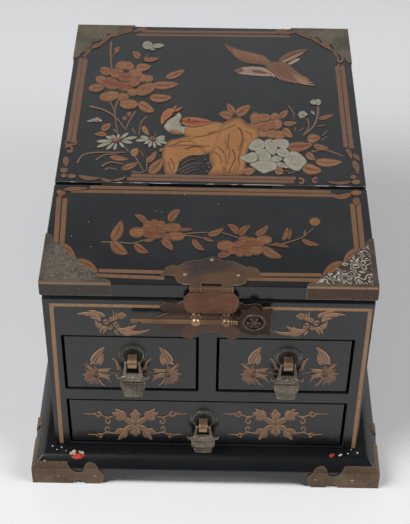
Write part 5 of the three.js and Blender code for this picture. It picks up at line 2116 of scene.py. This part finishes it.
    def _perched_bird(self) -> None:
        """A small bird with a pale breast, on the rock."""
        breast = self._new(REAR_LEFT, rise=0.5 * MM)
        breast.lump([
            (975, 965), (1020, 905), (1090, 862), (1130, 825), (1160, 862), (1140, 900), (1150, 950),
            (1210, 985), (1275, 990), (1230, 1035), (1130, 1052), (1040, 1035), (990, 1000),
        ], tone=0.3)
        breast.finish("rear_lid_bird_breast", CREAM)
        back = self._new(REAR_LEFT, rise=0.62 * MM)
        back.lump([
            (952, 930), (958, 868), (1000, 812), (1055, 790), (1092, 806), (1080, 845), (1040, 884),
            (1000, 915), (968, 960),
        ], tone=0.55)
        back.leaves((
            (1066, 815, 1118, 762, 11, 0.3), (1084, 826, 1172, 786, 14, 0.4),
            (1136, 918, 1452, 928, 52, 0.75, 0.02),
        ))
        back.petal((1100, 1020), (60, 14), 0.5, turn=10)
        back.finish("rear_lid_bird_back", FIERY)
        tail = self._new(REAR_LEFT, rise=0.55 * MM)
        tail.lump([
            (1160, 986), (1215, 975), (1300, 962), (1425, 946), (1520, 962), (1560, 985), (1480, 1030),
            (1370, 1046), (1260, 1062), (1180, 1048),
        ], tone=0.15)
        tail.finish("rear_lid_bird_tail", ROCK)
        marks = self._new(REAR_LEFT, rise=0.82 * MM)
        for u, v, size in ((1078, 846, 13), (1226, 906, 12), (1150, 916, 11), (1286, 922, 7)):
            marks.petal((u, v), (size, size), 0.2)
        marks.finish("rear_lid_bird_marks", INK)

    def _flying_bird(self) -> None:
        """A larger bird in flight, drawn feather by feather."""
        under = self._new(REAR_RIGHT, rise=0.3 * MM)
        under.leaf((905, 318), (770, 386), half_width=16, tone=0.0)
        under.lump([
            (278, 446), (318, 412), (420, 398), (540, 404), (640, 440), (690, 488), (600, 490),
            (450, 482), (330, 468),
        ], tone=0.55)
        under.finish("rear_lid_flying_bird_breast", ROSY)
        bird = self._new(REAR_RIGHT, rise=0.46 * MM)
        bird.lump([
            (168, 182), (240, 208), (300, 240), (420, 262), (540, 292), (640, 348), (640, 400),
            (520, 380), (400, 368), (310, 330), (232, 262),
        ], tone=0.75)
        bird.lump([
            (560, 400), (640, 346), (760, 352), (850, 420), (930, 486), (1000, 530), (960, 566),
            (840, 556), (720, 530), (650, 470),
        ], tone=0.6)
        bird.leaf((690, 360), (985, 236), half_width=40, tone=0.1, bend=-0.03)
        bird.leaf((440, 440), (604, 462), half_width=13, tone=0.9)
        bird.petal((322, 436), radii=(40, 20), tone=0.3, turn=-8)
        bird.finish("rear_lid_flying_bird", PLUMAGE)
        feathers = self._new(REAR_RIGHT, rise=0.6 * MM)
        for n in range(11):
            feathers.leaf((300 + 29 * n, 318 + 5 * n), (246 + 29 * n, 206 + 8 * n), 6, 0.35, bend=0.1)
        for n in range(4):
            feathers.leaf((800 + 20 * n, 462 + 24 * n), (980 + 26 * n, 506 + 24 * n), 9, 0.2, bend=0.03)
        for n in range(5):
            feathers.leaf((612 + 50 * n, 452 + 16 * n), (672 + 50 * n, 512 + 12 * n), 5, 0.8, bend=0.1)
        feathers.leaf((720, 364), (950, 262), half_width=14, tone=0.0)
        feathers.finish("rear_lid_flying_bird_feathers", QUILL)

    def _right_flowers(self) -> None:
        """The cream peony, the ochre one behind it, and the leaves and grass at the right."""
        stems = self._new(REAR_RIGHT, rise=0.24 * MM)
        stems.stems((
            (9, [(966, 882), (986, 970), (930, 1052)]),
            (15, [(1074, 775), (1070, 860), (1030, 965), (926, 1056)]),
            (8, [(786, 762), (840, 840), (842, 905)]), (7, [(1056, 972), (1165, 950)]),
            (7, [(1110, 1062), (1170, 1000)]), (9, [(1000, 1206), (1150, 1190), (1322, 1252)]),
            (7, [(850, 1010), (864, 965)]), (7, [(890, 1012), (946, 978)]),
            (7, [(1100, 1100), (1168, 1060)]), (8, [(780, 1416), (862, 1400)]),
            (7, [(760, 1388), (820, 1396)]),
        ), tone=0.4, taper=0.4)
        stems.finish("rear_lid_right_stems", STEM)
        ochre = self._new(REAR_RIGHT)
        ochre.leaves((
            (1074, 892, 1225, 850, 22, 0.6), (740, 938, 876, 930, 26, 0.5),
            (748, 980, 834, 1076, 40, 0.35), (776, 1160, 1028, 1136, 54, 0.75),
            (1026, 1148, 1180, 1174, 30, 0.55), (966, 1082, 1098, 1064, 50, 0.4),
            (1040, 1296, 1308, 1302, 46, 0.4), (918, 1346, 1112, 1388, 58, 0.45),
            (962, 1218, 1050, 1284, 38, 0.5), (362, 1396, 480, 1380, 42, 0.5),
            (668, 1372, 750, 1408, 44, 0.55), (700, 880, 790, 808, 34, 0.6),
            (272, 856, 205, 748, 40, 0.5), (286, 852, 432, 764, 52, 0.5),
            (262, 882, 126, 846, 46, 0.55),
        ), bend=0.05)
        ochre.petals((
            (478, 890, 46, 58, 0.4), (556, 884, 58, 40, 0.45), (610, 896, 54, 42, 0.5),
            (664, 880, 40, 46, 0.5), (500, 946, 62, 44, 0.4), (572, 962, 60, 50, 0.6),
            (680, 944, 48, 54, 0.45), (628, 950, 36, 46, 0.7), (556, 1026, 62, 44, 0.4),
            (634, 1036, 54, 46, 0.5), (704, 1048, 52, 44, 0.45),
        ))
        ochre.finish("rear_lid_right_blossoms", GOLD)
        cream = self._new(REAR_RIGHT, rise=0.42 * MM)
        for outline in (
            [(418, 1160), (450, 1112), (512, 1092), (556, 1120), (560, 1160), (520, 1190), (450, 1188)],
            [(574, 1110), (620, 1096), (660, 1120), (680, 1180), (650, 1230), (600, 1200), (570, 1150)],
            [(640, 1108), (700, 1094), (770, 1100), (790, 1140), (770, 1172), (700, 1160), (660, 1130)],
            [(690, 1192), (760, 1182), (796, 1220), (780, 1254), (720, 1252), (686, 1224)],
            [(332, 1272), (400, 1240), (450, 1220), (490, 1250), (480, 1296), (410, 1308), (370, 1286)],
            [(490, 1200), (540, 1184), (590, 1200), (620, 1250), (610, 1290), (550, 1298),
                (500, 1270), (484, 1230)],
            [(442, 1330), (500, 1304), (600, 1304), (668, 1320), (660, 1372), (600, 1392),
                (560, 1406), (510, 1380)],
            [(680, 1322), (720, 1310), (770, 1340), (790, 1362), (730, 1356), (696, 1344)],
            [(756, 1290), (800, 1226), (860, 1216), (912, 1250), (956, 1300), (920, 1346),
                (880, 1380), (810, 1356)],
            [(628, 1290), (660, 1250), (730, 1274), (700, 1300), (650, 1304)],
        ):
            cream.lump(outline, tone=0.3, steps=2, grow=1.26)
        cream.burst((925, 855), (50, 38), 6, 18, tone=0.4, hollow=0.05)
        cream.petals(((1032, 738, 30, 24, 0.3), (1074, 736, 26, 30, 0.3)))
        cream.leaf((1006, 820), (1046, 856), 14, 0.5)
        cream.finish("rear_lid_peony", CREAM)


# Lock


@dataclass
class Lock:
    """The hasp, its plate, the eyes and the sliding bar."""

    rounding: float = 0.22 * MM
    pin_rounding: float = 0.15 * MM
    bar_rounding: float = 0.3 * MM
    roundel_half: float = 0.75 * MM
    roundel_rise: float = 0.35 * MM
    roundel_radius: float = 7.3 * MM
    roundel_at: float = 0.55
    ferrule_ribs: int = 3
    rib_start: float = 0.4 * MM
    rib_pitch: float = 1.7 * MM
    rib: Sequence[Point] = ((0.0, -1.0), (0.95, -1.0), (1.25, 0.0), (0.95, 1.0), (0.0, 1.0))
    rib_half: float = 0.8 * MM
    hole_inset: float = 5.7 * MM
    hole_radius: float = 0.95 * MM
    hole_rise: float = 0.1 * MM
    ball_radius: float = 3.5 * MM
    ball_steps: int = 12
    bore_clearance: float = 0.25 * MM
    collar: Sequence[Point] = ((0.0, 0.0), (3.5, 0.0), (3.6, 0.35), (3.1, 0.6), (2.2, 0.75), (2.0, 1.0),
                               (0.0, 1.0))
    spokes: int = 6
    spoke_reach: float = 2.9 * MM
    hub: Sequence[Point] = ((0.0, -0.3), (1.7, -0.3), (1.5, 0.45), (0.0, 0.8))

    def build(self, nodes: Nodes, trees: Trees) -> None:
        """Finishes the lock."""
        fit(
            nodes,
            ("hasp_plate", PLATE, Body.FRONT_LID, Slot.AGED, self.rounding),
            ("hasp_pin", PLATE, Body.FRONT_LID, Slot.AGED, self.pin_rounding),
            ("hasp_leaf", RUSSET, Body.HASP, Slot.RED, self.rounding),
            ("lock_plate", LOCK_PLATE, Body.CASE, Slot.RED, self.rounding),
            ("lock_bar", BAR_BRASS, Body.BAR, Slot.WORN, self.bar_rounding),
            ("lock_bar_head", HEAD_BRASS, Body.BAR, Slot.RED, self.rounding),
        )
        bar_low, bar_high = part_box("lock_bar")
        axis = (bar_low + bar_high) / 2
        radius = (bar_high.z - bar_low.z) / 2
        for side in ("left", "right"):
            self._eye(f"lock_eye_{side}", axis, radius)
        self._bar_trim(trees, bar_low.x, bar_high.x, axis, radius)
        self._roundel(trees, axis)

    def _eye(self, name: str, axis: Vector, bar_radius: float) -> None:
        """A bored ball on a collared stem.

        Args:
            name: the eye's node.
            axis: a point on the middle of the bar.
            bar_radius: the bar's radius.
        """
        low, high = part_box(name)
        middle = Vector(((low.x + high.x) / 2, axis.y, axis.z))
        bore = bar_radius + self.bore_clearance
        widest = math.acos(bore / self.ball_radius)
        angles = [widest * (2 * n / self.ball_steps - 1) for n in range(self.ball_steps + 1)]
        section = [(self.ball_radius * math.cos(a), self.ball_radius * math.sin(a)) for a in angles]
        ball = lathed(section, sides=32, place=tipped("Y", middle))
        reach = high.y - middle.y - bore - self.bore_clearance
        foot = tipped("X", (middle.x, high.y, middle.z))
        collar = lathed([(r * MM, h * reach) for r, h in self.collar], sides=28, place=foot)
        add_piece(name + "_finished", joined([ball, collar]), HANDLED, Body.CASE, [name])

    def _bar_trim(self, trees: Trees, start: float, end: float, axis: Vector, radius: float) -> None:
        """Ribs where the bar meets its head, and at its other end a dark dome painted as a hole's shade.

        Args:
            trees: the geometry trees.
            start: x of the bar's free end.
            end: x of the end that meets the head.
            axis: a point on the middle of the bar.
            radius: the bar's radius.
        """
        profile = [(r * radius, h * self.rib_half) for r, h in self.rib]
        places = [end - self.rib_start + rib * self.rib_pitch for rib in range(self.ferrule_ribs)]
        ribs = [lathed(profile, sides=24, place=tipped("Y", (x, axis.y, axis.z))) for x in places]
        add_piece("lock_bar_ferrule", joined(ribs), BAR_BRASS, Body.BAR)
        # No hole is cut: a near-black dome stands for it, as painted shade.
        hole = (Vector((start + self.hole_inset, axis.y - radius, axis.z)), Vector((0.0, -1.0, 0.0)))
        mesh = trees.head.heads([hole], HOLE_SHADE, self.hole_radius, self.hole_rise)
        add_piece("lock_bar_hole_shade", mesh, HOLE_SHADE, Body.BAR)

    def _roundel(self, trees: Trees, axis: Vector) -> None:
        """A raised rim, spokes and a hub on the bar's head."""
        low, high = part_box("lock_bar_head")
        centre_x = low.x + (high.x - low.x) * self.roundel_at
        steps = 40
        angles = [2 * math.pi * n / steps for n in range(steps)]
        path = [(self.roundel_radius * math.cos(a), self.roundel_radius * math.sin(a)) for a in angles]
        place = Matrix.Translation((centre_x, 0.0, axis.z)) @ Face(1, low.y, Body.BAR).flat_frame()
        rim = trees.strip.strips(
            [path], LOCK_PLATE, place, self.roundel_half, self.roundel_rise, closed=True
        )
        spokes = trees.ring.ring(
            LOCK_PLATE, place, self.spokes, Radius=self.spoke_reach, Length=2.1 * MM, Width=0.55 * MM,
            Rise=0.5 * MM, Unevenness=0.1,
        )
        hub = lathed([(r * MM, h * MM) for r, h in self.hub], sides=24, place=place)
        add_piece("lock_bar_roundel", joined([rim, spokes, hub]), LOCK_PLATE, Body.BAR)


@dataclass
class WaxCrumbs(PhotoPlaced):
    """Crumbs of old wax and pale chips on top of the plinth, and pale specks on the front panel.

    Each heap has its crumbs' places in the photograph and their radii in millimetres.
    """

    seed: int = 7
    uneven: Point = (0.8, 1.08)
    flatness: float = 0.7
    speck_radius: float = 0.3 * MM
    speck_rise: float = 0.08 * MM
    heaps: Sequence[tuple[str, Wax, Sequence[tuple[float, float, float]]]] = (
        ("left_red_wax", RED_WAX, ((73.5, 456.6, 1.7), (76.6, 456.9, 2.3), (80.2, 456.6, 2.2),
                                   (83.2, 455.6, 1.5), (78.6, 454.6, 1.7))),
        ("left_cream_wax", CREAM_WAX, ((71.4, 453.2, 1.6), (74.2, 451.4, 1.7), (74.6, 453.8, 1.2),
                                       (82.0, 452.8, 1.7), (79.8, 451.6, 1.1))),
        ("right_red_wax", RED_WAX, ((331.4, 455.6, 1.9), (333.2, 454.8, 1.2))),
        ("right_pale_chips", PALE_SPECK, ((339.6, 455.4, 1.0), (341.2, 454.6, 0.8), (347.8, 453.6, 0.7),
                                          (357.4, 453.0, 0.8), (351.0, 449.6, 0.5))),
        ("left_pale_chips", PALE_SPECK, ((52.4, 446.0, 0.6), (57.0, 449.4, 0.5), (61.6, 447.2, 0.6),
                                         (66.0, 450.6, 0.5), (44.6, 460.6, 0.7))),
    )
    specks: Sequence[Point] = ((90.8, 246.6), (162.0, 212.1), (218.2, 204.1), (88.5, 221.8),
                               (155.8, 211.2), (184.6, 194.4), (71.5, 236.0))

    def build(self, trees: Trees) -> None:
        """Strews the crumbs, the chips and the specks."""
        chance = random.Random(self.seed)
        for name, finish, crumbs in self.heaps:
            shells = [
                self._crumb(self.camera.on_piece((u, v), "plinth_finished"), radius * MM, chance)
                for u, v, radius in crumbs
            ]
            add_piece(name, joined(shells), finish, Body.CASE)
        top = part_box("front_lid")[1].z
        up = Vector((0.0, 0.0, 1.0))
        specks = [(self.camera.on_plane(pixel, 2, top), up) for pixel in self.specks]
        mesh = trees.head.heads(specks, PALE_SPECK, self.speck_radius, self.speck_rise)
        add_piece("front_lid_specks", mesh, PALE_SPECK, Body.FRONT_LID)

    def _crumb(self, spot: Vector, size: float, chance: random.Random) -> bpy.types.Mesh:
        """One lump with an uneven skin."""
        shape = bmesh.new()
        bmesh.ops.create_icosphere(shape, subdivisions=2, radius=size)
        for vertex in shape.verts:
            vertex.co *= chance.uniform(*self.uneven)
            vertex.co.z *= self.flatness
            vertex.co += spot
        mesh = bpy.data.meshes.new("crumb")
        shape.to_mesh(mesh)
        shape.free()
        return mesh


# Studio


@dataclass
class Studio:
    """A plain pale floor, soft lamps at both sides and a room that is bright only low behind."""

    floor_half: float = 6.0
    tint: Colour = (0.98, 0.99, 1.0)
    bright: float = 0.70
    dim: float = 0.04
    bright_up_to: float = 0.60
    dim_from: float = 0.72
    lamps: Sequence[tuple[str, tuple[float, float, float], float, float]] = (
        ("key", (-1.2, -0.7, 1.6), 1.3, 42.0),
        ("fill", (1.35, -0.6, 1.15), 1.1, 24.0),
    )
    aim: tuple[float, float, float] = (0.0, 0.0, 0.1)

    def build(self) -> None:
        """Makes the floor, the surroundings and the lamps."""
        mesh = bpy.data.meshes.new("floor")
        h = self.floor_half
        mesh.from_pydata([(-h, -h, 0), (h, -h, 0), (h, h, 0), (-h, h, 0)], [], [(0, 1, 2, 3)])
        mesh.materials.append(PALETTE.of(PaleFloor()))
        floor = bpy.data.objects.new("floor", mesh)
        bpy.context.scene.collection.objects.link(floor)
        world = bpy.data.worlds.new("room")
        world.use_nodes = True
        sheet = NodeSheet(world.node_tree)
        way = sheet.node("ShaderNodeTexCoord", output="Generated")
        height = sheet.node("ShaderNodeSeparateXYZ", None, {0: way}, output="Z")
        depth = sheet.node("ShaderNodeSeparateXYZ", None, {0: way}, output="Y")
        glow = height.step(self.dim_from, self.bright_up_to) * depth.step(-0.1, 0.4)
        lit = sheet.node("ShaderNodeBackground", None, {
            "Color": (*self.tint, 1.0), "Strength": self.dim + glow * (self.bright - self.dim),
        })
        sheet.node("ShaderNodeOutputWorld", None, {"Surface": lit})
        bpy.context.scene.world = world
        for lamp in self.lamps:
            self._light(*lamp)
        bpy.context.scene.view_settings.view_transform = "Standard"

    def _light(self, name: str, place: tuple[float, float, float], size: float, power: float) -> None:
        """A square soft light that looks at the case."""
        data = bpy.data.lights.new(name, "AREA")
        data.size = size
        data.energy = power
        lamp = bpy.data.objects.new(name, data)
        lamp.location = place
        way = Vector(self.aim) - Vector(place)
        lamp.rotation_euler = way.to_track_quat("-Z", "Y").to_euler()
        bpy.context.scene.collection.objects.link(lamp)


def main() -> None:
    """Builds the case."""
    logging.basicConfig(level=logging.INFO, format="%(message)s")
    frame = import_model()
    nodes = frame["nodes"]
    camera = PhotoCamera()
    camera.build()
    trees = Trees()
    Studio().build()
    Joinery().build(nodes)
    Hinges().build(nodes)
    Brackets().build(nodes, trees)
    for side in ("left", "right", "long"):
        PullSet(Body(f"{side}_drawer"), Body(f"{side}_pull")).build(nodes, trees)
    Lock().build(nodes, trees)
    LidBorders(camera).build(trees)
    FrontPanelArt(camera).build()
    RearPanelArt(camera).build()
    CaseArt(camera).build(trees)
    DrawerArt(camera).build()
    WaxCrumbs(camera).build(trees)


if __name__ == "__main__":
    main()
